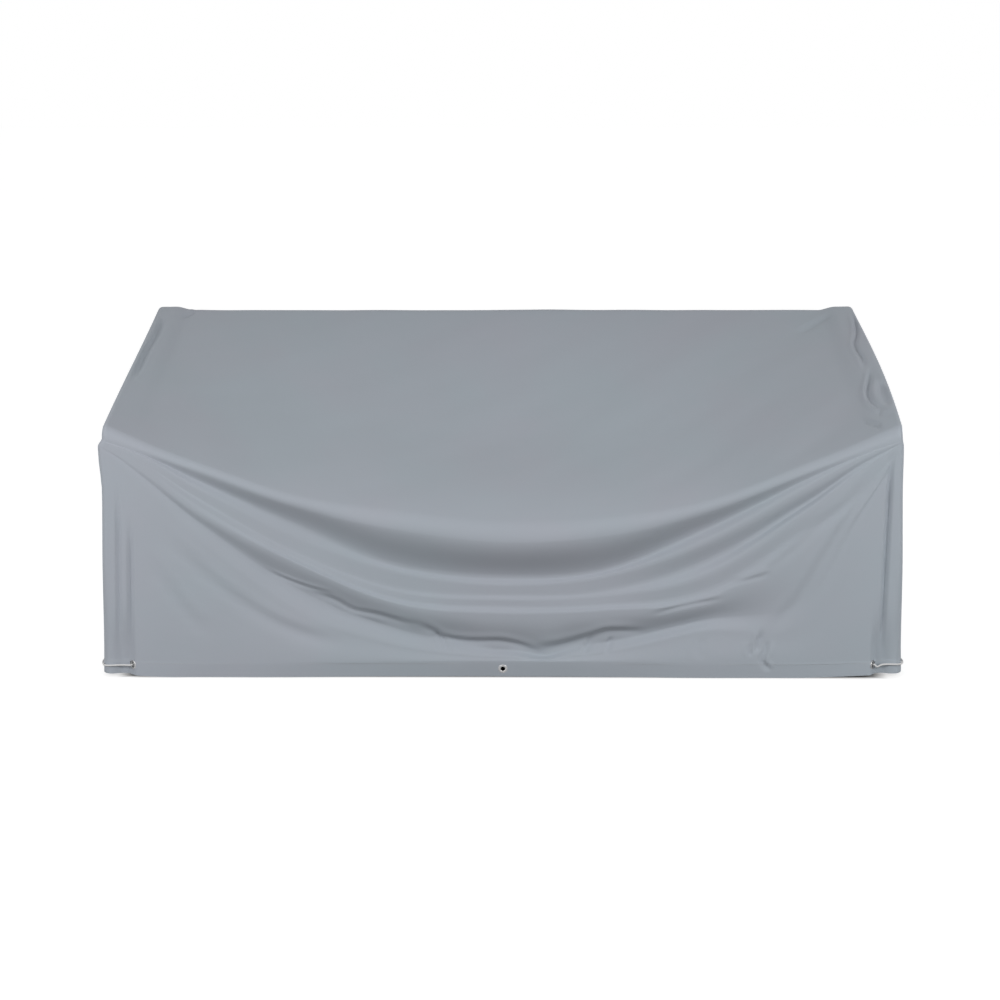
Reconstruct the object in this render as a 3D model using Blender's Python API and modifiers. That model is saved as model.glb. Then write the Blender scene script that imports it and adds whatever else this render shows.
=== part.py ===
"""A fitted patio furniture cover, draped as it hangs over a sofa of about three seats.

Sizes are in metres. The shape is worked out standing on the floor, with X to the right, the front
plane at Y = 0, the back at Y = DEPTH and the hem's edge at Z = 0. An empty then moves the whole cover,
so that the world origin lies under the top, at the middle of the back rail that carries it.
"""

import math

import bmesh
import bpy
from mathutils import Vector

# Driving sizes
WIDTH = 2.10
DEPTH = 0.90
BACK_HEIGHT = 0.888
CLOTH = 0.002
HEM_CLOTH = 0.003
HEM_PROUD = 0.0005
HEM_TOP = 0.0445
SEAM_GAP = 0.0007
HALF = WIDTH / 2

# How the cover widens from the arms to the floor and narrows to the back's top, as shares of the
# width, and how the ties lift its front corners
FLARE = 0.025
FLARE_FROM = 0.69
TAPER = 0.0075
FLOOR_GAP = 0.002
CORNER_LIFT = {-1: 0.009, 1: 0.012}
LIFT_WIDTH = {-1: 0.20, 1: 0.30}
LIFT_DEPTH = 0.25
LIFT_HEIGHT = 0.12

# The cloth puffs out sideways just below each arm's front corner, and along the edge above the arm
PUFF = {-1: 0.011, 1: 0.003}
BULGE = {-1: 0.0, 1: 0.011}
BULGE_FROM = 0.675
PUFF_INNER_X = 1.00
PUFF_DEPTH = 0.14
PUFF_TOP = 0.655
PUFF_FULL = 0.632
PUFF_END = 0.50

# Rounded edges
BACK_RADIUS = 0.040
BACK_DROP = 0.012
SIDE_TUCK = 0.012
EDGE_RADIUS = 0.014
BACK_CORNER_PEAK = 0.010
BACK_CORNER_FROM = 0.945
BACK_CORNER_RISE = 0.05
CREST_ABOVE_CENTRE = 0.7
CREST_FADE = 0.40
TOP_SAG = 0.012

# Places across the front where the fold lines were measured
STATIONS = (-1.05, -0.93, -0.80, -0.535, -0.27, 0.0, 0.27, 0.535, 0.80, 0.93, 1.05)
CREST_RADIUS = (0.040, 0.034, 0.030, 0.029, 0.028, 0.028, 0.028, 0.029, 0.030, 0.034, 0.040)

# Fold lines of the swags from top to bottom: height of the line above the floor at each station,
# then how far the cloth stands out of the front plane there. The hem's foot is the cloth's lower edge.
FOLD_LINES = (
    ("crest",
     (0.684, 0.632, 0.583, 0.488, 0.433, 0.402, 0.417, 0.475, 0.580, 0.632, 0.684),
     (0.000, 0.000, 0.001, 0.010, 0.030, 0.036, 0.030, 0.010, 0.002, 0.001, 0.000)),
    ("hollow_under_crest",
     (0.652, 0.607, 0.540, 0.413, 0.304, 0.274, 0.292, 0.404, 0.545, 0.607, 0.652),
     (0.000, -0.005, -0.014, -0.029, -0.026, -0.024, -0.026, -0.025, -0.008, -0.003, 0.000)),
    ("second_roll",
     (0.650, 0.600, 0.520, 0.378, 0.289, 0.256, 0.281, 0.379, 0.527, 0.600, 0.650),
     (0.000, 0.000, -0.003, -0.020, -0.018, -0.014, -0.016, -0.006, 0.001, 0.000, 0.000)),
    ("second_hollow",
     (0.648, 0.585, 0.497, 0.344, 0.247, 0.229, 0.240, 0.314, 0.479, 0.577, 0.648),
     (0.000, 0.000, -0.004, -0.019, -0.017, -0.014, -0.018, -0.025, -0.016, -0.006, 0.000)),
    ("third_roll",
     (0.646, 0.580, 0.488, 0.332, 0.234, 0.217, 0.225, 0.288, 0.462, 0.560, 0.646),
     (0.000, 0.000, -0.002, -0.016, -0.012, -0.008, -0.012, -0.008, 0.000, 0.000, 0.000)),
    ("third_hollow",
     (0.644, 0.575, 0.478, 0.324, 0.218, 0.198, 0.202, 0.237, 0.412, 0.500, 0.642),
     (0.000, 0.000, -0.002, -0.014, -0.011, -0.008, -0.011, -0.013, -0.006, -0.003, 0.000)),
    ("fourth_roll",
     (0.642, 0.565, 0.463, 0.316, 0.207, 0.184, 0.191, 0.220, 0.380, 0.470, 0.640),
     (0.000, 0.000, 0.000, -0.006, -0.001, 0.002, -0.001, -0.005, -0.001, 0.000, 0.000)),
    ("lowest_hollow",
     (0.640, 0.543, 0.430, 0.236, 0.126, 0.072, 0.093, 0.156, 0.218, 0.440, 0.630),
     (0.000, -0.003, -0.010, -0.036, -0.032, -0.029, -0.032, -0.028, -0.007, -0.003, 0.000)),
    ("skirt_roll",
     (0.630, 0.510, 0.381, 0.181, 0.084, 0.055, 0.067, 0.129, 0.136, 0.380, 0.600),
     (0.000, -0.001, -0.004, -0.018, -0.016, -0.013, -0.015, -0.013, -0.004, 0.000, 0.000)),
    ("hem_seam",
     (HEM_TOP,) * len(STATIONS),
     (0.000, 0.000, -0.002, -0.003, -0.008, -0.010, -0.008, -0.003, -0.002, 0.000, 0.000)),
)
HEM_FOOT = (0.000, 0.000, -0.004, -0.006, -0.013, -0.016, -0.013, -0.006, -0.004, 0.000, 0.000)
ROWS_BETWEEN_LINES = (3, 2, 2, 2, 1, 1, 4, 2, 8)

# Front corners. At the hem each corner is round in plan, with a tuck that the tie draws in; its wall
# stands between the first two points and holds the eyelet.
HEM_RADIUS = {-1: 0.036, 1: 0.045}
TUCK_DEPTH = {
    -1: ((0.960, 0.0), (0.9795, 0.018), (0.998, 0.016), (1.036, 0.0)),
    1: ((0.9635, 0.0), (0.9785, 0.0215), (0.996, 0.020), (1.036, 0.0)),
}
CORNER_COLUMNS = {
    -1: (0.960, 0.9795, 0.998, 1.007, 1.016, 1.026, 1.036, 1.044, 1.05),
    1: (0.9635, 0.9785, 0.996, 1.006, 1.016, 1.027, 1.036, 1.044, 1.05),
}
STRAIGHT_BELOW = 0.05
ROUNDING_ENDS = 0.35
TUCK_ENDS = 0.20
CREASE_BEGINS = 0.25

# Upright creases beside the front corners: side, x at the top, x at the bottom, top, bottom,
# half width, depth
CORNER_CREASES = (
    (-1, 1.016, 1.015, 0.50, 0.05, 0.012, 0.004),
    (-1, 0.982, 0.979, 0.36, 0.05, 0.016, 0.005),
    (1, 1.015, 1.004, 0.645, 0.05, 0.010, 0.009),
)

# Mesh density
MAIN_EDGE = 0.936
MAIN_COLUMNS = 30
SLOPE_ROWS = 8
ARC_ROWS = 4
BACK_ROWS = 8
BACK_COLUMNS = 14
BACK_CORNER_MARGIN = 0.01
HEM_ROWS = 2

# Soft folds that hang in the side and back panels: place along the panel, half width, depth
SIDE_FOLDS = {
    -1: ((0.16, 0.10, 0.007), (0.42, 0.14, -0.006), (0.70, 0.12, 0.008)),
    1: ((0.20, 0.12, 0.009), (0.50, 0.13, -0.007), (0.76, 0.10, 0.006)),
}
BACK_FOLDS_BEGIN = 0.4
BACK_FOLDS_END_X = 0.85
BACK_FOLDS_FADE = 0.15
BACK_FOLDS = (
    (-0.78, 0.20, 0.010), (-0.45, 0.16, -0.006), (-0.08, 0.24, 0.012),
    (0.36, 0.18, -0.007), (0.71, 0.22, 0.011),
)

# Eyelets, measured from the middle of the cloth along their own axis
EYELET_BORE = 0.0060
EYELET_BARREL = 0.0070
EYELET_FLANGE = 0.0125
EYELET_BACK_FLANGE = 0.0115
EYELET_SEAT = 0.0019
EYELET_FACE = 0.0030
EYELET_ROUND = 0.0004
EYELET_LIP = 0.0020
EYELET_HOLE = 0.0075
DRILL_LENGTH = 0.02
EYELET_STEPS = 16
EYELET_HEIGHT = 0.0295
CENTRE_EYELET_X = 0.003
CENTRE_EYELET_HEIGHT = 0.0225
SIDE_EYELET_Y = 0.150

# Ties
TIE_RADIUS = 0.0026
KNOT_SCALE = 2.7
KNOT_BEHIND = 0.0107
KNOT_HALF = 0.0065
KNOT_WIDTHS = (1.4, KNOT_SCALE, 1.1)
TIE_LEAVES = (0.0010, 0.0070)
TIE_ENTERS = (0.0065, -0.0010)
ROUND_NEAR = 0.5625
ROUND_FAR = 0.0625
TIE_ENDS = {
    -1: ("eyelet_front_left", "eyelet_side_left"),
    1: ("eyelet_front_right", "eyelet_side_right"),
}
TIE_ROUND_CORNER = {
    -1: ((-1.0025, 0.0015, 0.0353), (-1.0150, 0.0018, 0.0357), (-1.0280, 0.0022, 0.0355),
         (-1.0405, 0.0018, 0.0350), (-1.0520, 0.0016, 0.0346), (-1.0626, 0.0029, 0.0343),
         (-1.0715, 0.0110, 0.0342), (-1.0764, 0.0245, 0.0343), (-1.0794, 0.0380, 0.0346),
         (-1.0793, 0.0600, 0.0350), (-1.0793, 0.0950, 0.0354), (-1.0800, 0.1380, 0.0358)),
    1: ((1.0060, 0.0058, 0.0340), (1.0180, 0.0052, 0.0395), (1.0300, 0.0050, 0.0408),
        (1.0415, 0.0052, 0.0408), (1.0525, 0.0056, 0.0405), (1.0630, 0.0078, 0.0400),
        (1.0720, 0.0175, 0.0395), (1.0770, 0.0310, 0.0390), (1.0795, 0.0460, 0.0384),
        (1.0793, 0.0660, 0.0377), (1.0793, 0.0980, 0.0370), (1.0800, 0.1385, 0.0362)),
}

# Middle of the rail under the top, where the cover is carried
RAIL_PLACE = Vector((0.0, DEPTH - BACK_RADIUS, BACK_HEIGHT - CLOTH - SEAM_GAP))

COLOURS = {
    "cloth": ((0.335, 0.375, 0.415, 1.0), 0.85, 0.0),
    "metal": ((0.62, 0.62, 0.60, 1.0), 0.32, 1.0),
    "cord": ((0.66, 0.68, 0.69, 1.0), 0.8, 0.0),
}


def mix(first, second, share):
    return first + (second - first) * share


def smooth(value):
    """0 below 0, 1 above 1, and an S curve between."""
    value = min(max(value, 0.0), 1.0)
    return value * value * (3.0 - 2.0 * value)


def through(stations, values, x):
    """A smooth curve through the values at the stations."""
    x = min(max(x, stations[0]), stations[-1])
    last = len(stations) - 1
    index = 0
    while index < last - 1 and x > stations[index + 1]:
        index += 1

    def slope(i):
        before = max(i - 1, 0)
        after = min(i + 1, last)
        return (values[after] - values[before]) / (stations[after] - stations[before])

    span = stations[index + 1] - stations[index]
    t = (x - stations[index]) / span
    start, end = values[index], values[index + 1]
    rise = slope(index) * span
    fall = slope(index + 1) * span
    return (
        start * (2 * t**3 - 3 * t**2 + 1)
        + rise * (t**3 - 2 * t**2 + t)
        + end * (3 * t**2 - 2 * t**3)
        + fall * (t**3 - t**2)
    )


def straight_through(points, x):
    """Straight lines through the points, level outside them."""
    if x <= points[0][0]:
        return points[0][1]
    for (x0, y0), (x1, y1) in zip(points, points[1:]):
        if x <= x1:
            return mix(y0, y1, (x - x0) / (x1 - x0))
    return points[-1][1]


def puff(x, y, z):
    """How far the cloth stands out sideways below the arm's front corner and above the arm."""
    side = -1 if x < 0 else 1
    near = smooth((abs(x) - PUFF_INNER_X) / (HALF - PUFF_INNER_X)) * (1.0 - smooth(y / PUFF_DEPTH))
    upper = smooth((PUFF_TOP - z) / (PUFF_TOP - PUFF_FULL))
    lower = smooth((z - PUFF_END) / (PUFF_FULL - PUFF_END))
    share = min(max((z - BULGE_FROM) / (BACK_HEIGHT - BULGE_FROM), 0.0), 1.0)
    bulge = BULGE[side] * smooth((abs(x) - PUFF_INNER_X) / (HALF - PUFF_INNER_X)) * math.sin(math.pi * share)
    return side * (PUFF[side] * near * upper * lower + bulge)


def settle(x, y, z):
    """Widens the cover towards the floor and lifts its hem, most at the tied front corners."""
    drop = max(0.0, 1.0 - z / FLARE_FROM)
    rise = smooth((z - FLARE_FROM) / (BACK_HEIGHT - FLARE_FROM))
    side = 1 if x > 0.0 else -1
    near_side = smooth((abs(x) - HALF + LIFT_WIDTH[side]) / LIFT_WIDTH[side])
    near_front = 1.0 - smooth(y / LIFT_DEPTH)
    low = max(0.0, 1.0 - z / LIFT_HEIGHT)
    wide = x * (1.0 + FLARE * drop - TAPER * rise) + puff(x, y, z)
    lift = FLOOR_GAP + CORNER_LIFT[side] * near_side * near_front
    return Vector((wide, y, z + lift * low))


def lines_at(x):
    """Height and stand-out of every fold line at x, from top to bottom."""
    return [(through(STATIONS, heights, x), through(STATIONS, proud, x))
            for _, heights, proud in FOLD_LINES]


def stand_out(lines, z):
    """How far the front stands out of its plane at height z."""
    if z >= lines[0][0]:
        return lines[0][1]
    for (high, above), (low, below) in zip(lines, lines[1:]):
        if z >= low:
            return mix(above, below, smooth((high - z) / (high - low)))
    return lines[-1][1]


def corner_inset(x, z):
    """How far the rounded vertical corner lies behind the front plane, without its tucks."""
    side = -1 if x < 0 else 1
    low = 1.0 - smooth((z - STRAIGHT_BELOW) / (ROUNDING_ENDS - STRAIGHT_BELOW))
    radius = mix(EDGE_RADIUS, HEM_RADIUS[side], low)
    reach = min(max(abs(x) - HALF + radius, 0.0), radius)
    return radius - math.sqrt(radius * radius - reach * reach)


def corner_tucks(x, z):
    """Depth of the drawn-in tuck and of the upright creases beside a front corner."""
    side = -1 if x < 0 else 1
    fade = 1.0 - smooth((z - STRAIGHT_BELOW) / (TUCK_ENDS - STRAIGHT_BELOW))
    depth = fade * straight_through(TUCK_DEPTH[side], abs(x))
    for crease_side, top_x, low_x, top, bottom, half_width, deep in CORNER_CREASES:
        if crease_side == side:
            share = (top - z) / (top - bottom)
            away = abs(abs(x) - mix(top_x, low_x, min(max(share, 0.0), 1.0))) / half_width
            reach = smooth(share / CREASE_BEGINS) * (1.0 - fade)
            depth += deep * reach * max(0.0, 1.0 - away)
    return depth


def profile(x):
    """Centres and radii of the front crest and the back edge at x, and the slope between them."""
    front_radius = through(STATIONS, CREST_RADIUS, x)
    crest = through(STATIONS, FOLD_LINES[0][1], x)
    peak = BACK_CORNER_PEAK * smooth((abs(x) - BACK_CORNER_FROM) / BACK_CORNER_RISE)
    front = (front_radius, crest - CREST_ABOVE_CENTRE * front_radius)
    back = (DEPTH - BACK_RADIUS, BACK_HEIGHT + peak - BACK_RADIUS)
    run = back[0] - front[0]
    rise = back[1] - front[1]
    slope = math.atan2(rise, run) + math.asin((BACK_RADIUS - front_radius) / math.hypot(run, rise))
    return front, front_radius, back, slope


def strip_rows():
    """Rows of the front and top panel from the hem seam up and over to the back: zone and place."""
    rows = []
    spans = len(ROWS_BETWEEN_LINES)
    for span in range(spans, 0, -1):
        steps = ROWS_BETWEEN_LINES[span - 1]
        rows += [("front", span - step / steps) for step in range(steps)]
    rows += [("crest", step / ARC_ROWS) for step in range(ARC_ROWS)]
    rows += [("slope", step / SLOPE_ROWS) for step in range(SLOPE_ROWS)]
    rows += [("back_edge", step / ARC_ROWS) for step in range(ARC_ROWS + 1)]
    rows.append(("back", 1.0))
    return rows


def strip_point(x, zone, place, tuck=0.0):
    """A point of the front and top panel; tuck carries its side edge round onto the side."""
    front, front_radius, back, slope = profile(x)
    lines = lines_at(x)
    out = 0.0
    if zone == "front":
        knots = [front[1]] + [height for height, _ in lines[1:]]
        index = min(int(place), len(knots) - 2)
        y, z = 0.0, mix(knots[index], knots[index + 1], place - index)
        angle = math.pi
        out = stand_out(lines, z) - corner_tucks(x, z)
    elif zone == "crest":
        angle = mix(math.pi, math.pi / 2 + slope, place)
        y = front[0] + front_radius * math.cos(angle)
        z = front[1] + front_radius * math.sin(angle)
        out = stand_out(lines, z)
    elif zone == "slope":
        angle = math.pi / 2 + slope
        start = (front[0] + front_radius * math.cos(angle), front[1] + front_radius * math.sin(angle))
        end = (back[0] + BACK_RADIUS * math.cos(angle), back[1] + BACK_RADIUS * math.sin(angle))
        y = mix(start[0], end[0], place)
        z = mix(start[1], end[1], place)
        inner = 1.0 - (x / HALF) ** 2
        out = lines[0][1] * (1.0 - smooth(place * DEPTH / CREST_FADE))
        out -= TOP_SAG * inner * math.sin(math.pi * place) ** 2
    elif zone == "back_edge":
        angle = mix(math.pi / 2 + slope, 0.0, place)
        y = back[0] + BACK_RADIUS * math.cos(angle)
        z = back[1] + BACK_RADIUS * math.sin(angle)
    else:
        angle = 0.0
        y, z = DEPTH, BACK_HEIGHT - BACK_RADIUS - BACK_DROP
    out -= corner_inset(x, z if zone == "front" else BACK_HEIGHT) + tuck
    return settle(x, y + out * math.cos(angle), z + out * math.sin(angle))


def strip_columns():
    """Columns of the front and top panel, left to right: x, and the tuck onto the side."""
    left = [(-x, 0.0) for x in reversed(CORNER_COLUMNS[-1])]
    right = [(x, 0.0) for x in CORNER_COLUMNS[1]]
    step = 2 * MAIN_EDGE / MAIN_COLUMNS
    main = [(-MAIN_EDGE + step * i, 0.0) for i in range(MAIN_COLUMNS + 1)]
    return [(-HALF, SIDE_TUCK)] + left + main + right + [(HALF, SIDE_TUCK)]


def hem_point(x, tuck, z):
    """A point on the outer face of the front hem."""
    lean = mix(through(STATIONS, HEM_FOOT, x), through(STATIONS, FOLD_LINES[-1][2], x), z / HEM_TOP)
    out = lean - corner_tucks(x, z) - corner_inset(x, z) - tuck
    return settle(x, -out - HEM_PROUD, z)


def bump(away):
    """A soft round fold, 1 in its middle and 0 from its half width on."""
    return smooth(1.0 - abs(away))


def material(name):
    """The finish of one object: colour, roughness and metallic value."""
    kind = "metal" if name.startswith("eyelet") else "cord" if name.startswith("tie") else "cloth"
    colour, roughness, metallic = COLOURS[kind]
    finish = bpy.data.materials.new(name)
    finish.use_nodes = True
    shader = finish.node_tree.nodes["Principled BSDF"]
    shader.inputs["Base Color"].default_value = colour
    shader.inputs["Roughness"].default_value = roughness
    shader.inputs["Metallic"].default_value = metallic
    return finish


def add_object(name, data, collection, parent):
    """Puts a mesh or curve in the cover, with its own material."""
    obj = bpy.data.objects.new(name, data)
    data.materials.append(material(name))
    collection.objects.link(obj)
    obj.parent = parent
    return obj


def draped_sheet(name, rows, thickness, collection, parent):
    """A cloth panel: a grid laid on the given rows of points, with its thickness on the inside."""
    columns = len(rows[0]) - 1
    height = len(rows) - 1
    grid = bmesh.new()
    bmesh.ops.create_grid(grid, x_segments=columns, y_segments=height, size=1.0)
    for vert in grid.verts:
        column = round((vert.co.x + 1.0) / 2.0 * columns)
        row = round((vert.co.y + 1.0) / 2.0 * height)
        vert.co = rows[row][column]
    mesh = bpy.data.meshes.new(name)
    grid.to_mesh(mesh)
    grid.free()
    mesh.shade_smooth()
    panel = add_object(name, mesh, collection, parent)
    solidify = panel.modifiers.new("thickness", "SOLIDIFY")
    solidify.thickness = thickness
    solidify.offset = -1.0
    return panel


def front_and_top(collection, parent):
    """The large panel with the swags."""
    rows = [[strip_point(x, zone, place, tuck) for x, tuck in strip_columns()]
            for zone, place in strip_rows()]
    return draped_sheet("panel_front_top", rows, CLOTH, collection, parent)


def front_hem(collection, parent):
    """The turned strip along the front, round both corners."""
    top = HEM_TOP - SEAM_GAP
    rows = [[hem_point(x, tuck, top * row / HEM_ROWS) for x, tuck in strip_columns()]
            for row in range(HEM_ROWS + 1)]
    return draped_sheet("hem_front", rows, HEM_CLOTH, collection, parent)


def back_heights():
    """Heights of the back panel's rows that the side panels share, from the hem seam up."""
    top = BACK_HEIGHT - BACK_RADIUS - BACK_DROP - SEAM_GAP
    return [mix(HEM_TOP, top, row / BACK_ROWS) for row in range(BACK_ROWS + 1)]


def back_point(x, tuck, z):
    """A point of the back panel, which wraps round both back corners."""
    radius = EDGE_RADIUS
    reach = min(max(abs(x) - HALF + radius, 0.0), radius)
    inset = radius - math.sqrt(radius * radius - reach * reach) + tuck
    top = back_heights()[-1]
    hang = smooth((1.0 - z / top) / BACK_FOLDS_BEGIN)
    hang *= 1.0 - smooth((abs(x) - BACK_FOLDS_END_X) / BACK_FOLDS_FADE)
    fold = sum(deep * bump((x - middle) / half) for middle, half, deep in BACK_FOLDS)
    return settle(x, DEPTH - inset + fold * hang, z)


def back_panel(collection, parent):
    """The plain panel behind, with its own hem."""
    corner = [x for x in CORNER_COLUMNS[1] if x >= HALF - EDGE_RADIUS]
    inner = HALF - EDGE_RADIUS - BACK_CORNER_MARGIN
    step = 2 * inner / BACK_COLUMNS
    main = [inner - step * i for i in range(BACK_COLUMNS + 1)]
    outer = [(x, 0.0) for x in reversed(corner)]
    columns = [(HALF, SIDE_TUCK)] + outer + [(x, 0.0) for x in main]
    columns += [(-x, 0.0) for x in corner] + [(-HALF, SIDE_TUCK)]
    heights = [0.0] + back_heights()
    rows = [[back_point(x, tuck, z) for x, tuck in columns] for z in heights]
    return draped_sheet("panel_back", rows, CLOTH, collection, parent)


def side_borders(side):
    """The side panel's four edges, a seam's gap inside the cloth around it."""
    rows = strip_rows()
    edge = [strip_point(side * HALF, zone, place, SIDE_TUCK) for zone, place in rows]
    first_crest = rows.index(("crest", 0.0))
    arm = first_crest + ARC_ROWS // 2
    back = rows.index(("back_edge", 0.5))
    skirt = ROWS_BETWEEN_LINES[-1]
    front = edge[:skirt + 1] + edge[first_crest:arm + 1]
    top = edge[arm:back + 1]
    heights = back_heights()
    rear = [back_point(side * HALF, SIDE_TUCK, z) for z in heights] + edge[back:back + 3][::-1]
    front = [point + Vector((0.0, SEAM_GAP, 0.0)) for point in front]
    top = [point + Vector((0.0, 0.0, -SEAM_GAP)) for point in top]
    rear = [point + Vector((0.0, -SEAM_GAP, 0.0)) for point in rear]
    corner_front = Vector((front[-1].x, front[-1].y, top[0].z))
    corner_rear = Vector((rear[-1].x, rear[-1].y, top[-1].z))
    front[-1] = top[0] = corner_front
    rear[-1] = top[-1] = corner_rear
    return front, top, rear


def side_panel(side, collection, parent):
    """A cloth end: its edges follow the seams, and soft folds hang in it."""
    front, top, rear = side_borders(side)
    across = [(point.y - top[0].y) / (top[-1].y - top[0].y) for point in top]
    up = [(point.z - front[0].z) / (front[-1].z - front[0].z) for point in front]
    rows = []
    for j, v in enumerate(up):
        row = []
        for i, u in enumerate(across):
            bottom = front[0].lerp(rear[0], u)
            level = bottom.lerp(top[i], v) + front[j].lerp(rear[j], u)
            level -= front[0].lerp(rear[0], u).lerp(front[-1].lerp(rear[-1], u), v)
            envelope = math.sin(math.pi * min(max(v, 0.0), 1.0)) * math.sin(math.pi * min(max(u, 0.0), 1.0))
            fold = sum(deep * bump((u * DEPTH - middle) / half) for middle, half, deep in SIDE_FOLDS[side])
            level.x += side * fold * envelope
            row.append(level)
        rows.append(row if side > 0 else row[::-1])
    name = "side_right" if side > 0 else "side_left"
    return draped_sheet(name, rows, CLOTH, collection, parent)


def side_hem_point(side, y, z):
    """A point on the outer face of a side hem."""
    return settle(side * (HALF + HEM_PROUD), y, z)


def side_hem(side, collection, parent):
    """The turned strip along one side, between the front hem and the back panel."""
    top = HEM_TOP - SEAM_GAP
    rows = []
    for row in range(HEM_ROWS + 1):
        z = top * row / HEM_ROWS
        start = hem_point(side * HALF, SIDE_TUCK, z).y + SEAM_GAP + HEM_PROUD
        end = back_point(side * HALF, SIDE_TUCK, z).y - SEAM_GAP
        count = BACK_COLUMNS
        points = [side_hem_point(side, mix(start, end, i / count), z) for i in range(count + 1)]
        rows.append(points if side > 0 else points[::-1])
    name = "hem_right" if side > 0 else "hem_left"
    return draped_sheet(name, rows, HEM_CLOTH, collection, parent)


def seated(face, along, up):
    """Middle of the cloth behind a point of a hem's outer face, and the outward direction there."""
    out = along.cross(up).normalized()
    return face - out * HEM_CLOTH / 2, out


def eyelet_places():
    """Middle of the cloth and outward direction of every eyelet."""
    places = {}
    for side, name in ((-1, "eyelet_front_left"), (1, "eyelet_front_right")):
        first, second = [hem_point(side * x, 0.0, EYELET_HEIGHT) for x, _ in TUCK_DEPTH[side][:2]]
        up = hem_point(side * TUCK_DEPTH[side][0][0], 0.0, HEM_TOP) - first
        places[name] = seated((first + second) / 2, (second - first) * side, up)
    middle = hem_point(CENTRE_EYELET_X, 0.0, CENTRE_EYELET_HEIGHT)
    up = hem_point(CENTRE_EYELET_X, 0.0, HEM_TOP) - middle
    places["eyelet_front_centre"] = seated(middle, Vector((1.0, 0.0, 0.0)), up)
    for side, name in ((-1, "eyelet_side_left"), (1, "eyelet_side_right")):
        middle = side_hem_point(side, SIDE_EYELET_Y, EYELET_HEIGHT)
        up = side_hem_point(side, SIDE_EYELET_Y, HEM_TOP) - middle
        places[name] = seated(middle, Vector((0.0, side, 0.0)), up)
    return places


def eyelet(name, middle, out, collection, parent):
    """A pressed ring: a barrel through the cloth with a flange on each face."""
    outline = (
        (EYELET_BORE, EYELET_FACE - EYELET_ROUND), (EYELET_BARREL, EYELET_FACE),
        (EYELET_FLANGE - EYELET_LIP, EYELET_FACE), (EYELET_FLANGE, EYELET_SEAT),
        (EYELET_BARREL, EYELET_SEAT), (EYELET_BARREL, -EYELET_SEAT),
        (EYELET_BACK_FLANGE, -EYELET_SEAT),
        (EYELET_BACK_FLANGE - EYELET_LIP / 2, EYELET_ROUND - EYELET_FACE),
        (EYELET_BARREL, -EYELET_FACE), (EYELET_BORE, EYELET_ROUND - EYELET_FACE),
    )
    ring = bmesh.new()
    verts = [ring.verts.new((radius, 0.0, height)) for radius, height in outline]
    for i, vert in enumerate(verts):
        ring.edges.new((vert, verts[(i + 1) % len(verts)]))
    mesh = bpy.data.meshes.new(name)
    ring.to_mesh(mesh)
    ring.free()
    obj = add_object(name, mesh, collection, parent)
    screw = obj.modifiers.new("turn", "SCREW")
    screw.steps = EYELET_STEPS
    screw.render_steps = EYELET_STEPS
    screw.use_merge_vertices = True
    screw.merge_threshold = 0.0001
    obj.rotation_euler = out.to_track_quat("Z", "Y").to_euler()
    obj.location = middle
    return obj


def punch(hem, name, middle, out, cutters, parent):
    """Cuts the hole of one eyelet in its hem."""
    mesh = bpy.data.meshes.new("hole_" + name)
    drill = bmesh.new()
    bmesh.ops.create_cone(
        drill, cap_ends=True, segments=EYELET_STEPS, radius1=EYELET_HOLE, radius2=EYELET_HOLE,
        depth=DRILL_LENGTH,
    )
    drill.to_mesh(mesh)
    drill.free()
    cutter = bpy.data.objects.new("hole_" + name, mesh)
    cutters.objects.link(cutter)
    cutter.parent = parent
    cutter.hide_render = True
    cutter.display_type = "WIRE"
    cutter.rotation_euler = out.to_track_quat("Z", "Y").to_euler()
    cutter.location = middle
    cut = hem.modifiers.new("hole_" + name, "BOOLEAN")
    cut.operation = "DIFFERENCE"
    cut.solver = "EXACT"
    cut.object = cutter


def rounded_route(points, widths):
    """Adds a point between every two, on a smooth curve through them all."""
    route = [points[0]]
    sizes = [widths[0]]
    last = len(points) - 1
    for i in range(last):
        before, after = points[max(i - 1, 0)], points[min(i + 2, last)]
        middle = (points[i] + points[i + 1]) * ROUND_NEAR - (before + after) * ROUND_FAR
        route += [middle, points[i + 1]]
        sizes += [(widths[i] + widths[i + 1]) / 2, widths[i + 1]]
    return route, sizes


def tie_route(side, places):
    """The tie's route: knot inside the front hem, out of its eyelet, round the corner, and in again."""
    ends = TIE_ENDS[side]
    (start, start_out), (end, end_out) = places[ends[0]], places[ends[1]]
    knot = [-KNOT_BEHIND - KNOT_HALF, -KNOT_BEHIND, -KNOT_BEHIND + KNOT_HALF]
    route = [start + start_out * along for along in knot + list(TIE_LEAVES)]
    route += [Vector(place) for place in TIE_ROUND_CORNER[side]]
    route += [end + end_out * along for along in TIE_ENTERS]
    route += [end + end_out * along for along in reversed(knot)]
    plain = [1.0] * (len(route) - 2 * len(KNOT_WIDTHS))
    widths = list(KNOT_WIDTHS) + plain + list(reversed(KNOT_WIDTHS))
    return rounded_route(route, widths)


def tie(side, places, collection, parent):
    """A short round cord with a knot at each end."""
    name = "tie_cord_right" if side > 0 else "tie_cord_left"
    route, widths = tie_route(side, places)
    curve = bpy.data.curves.new(name, "CURVE")
    curve.dimensions = "3D"
    curve.bevel_depth = TIE_RADIUS
    curve.bevel_resolution = 2
    curve.use_fill_caps = True
    spline = curve.splines.new("POLY")
    spline.points.add(len(route) - 1)
    for point, place, width in zip(spline.points, route, widths):
        point.co = (*place, 1.0)
        point.radius = width
    return add_object(name, curve, collection, parent)


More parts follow.
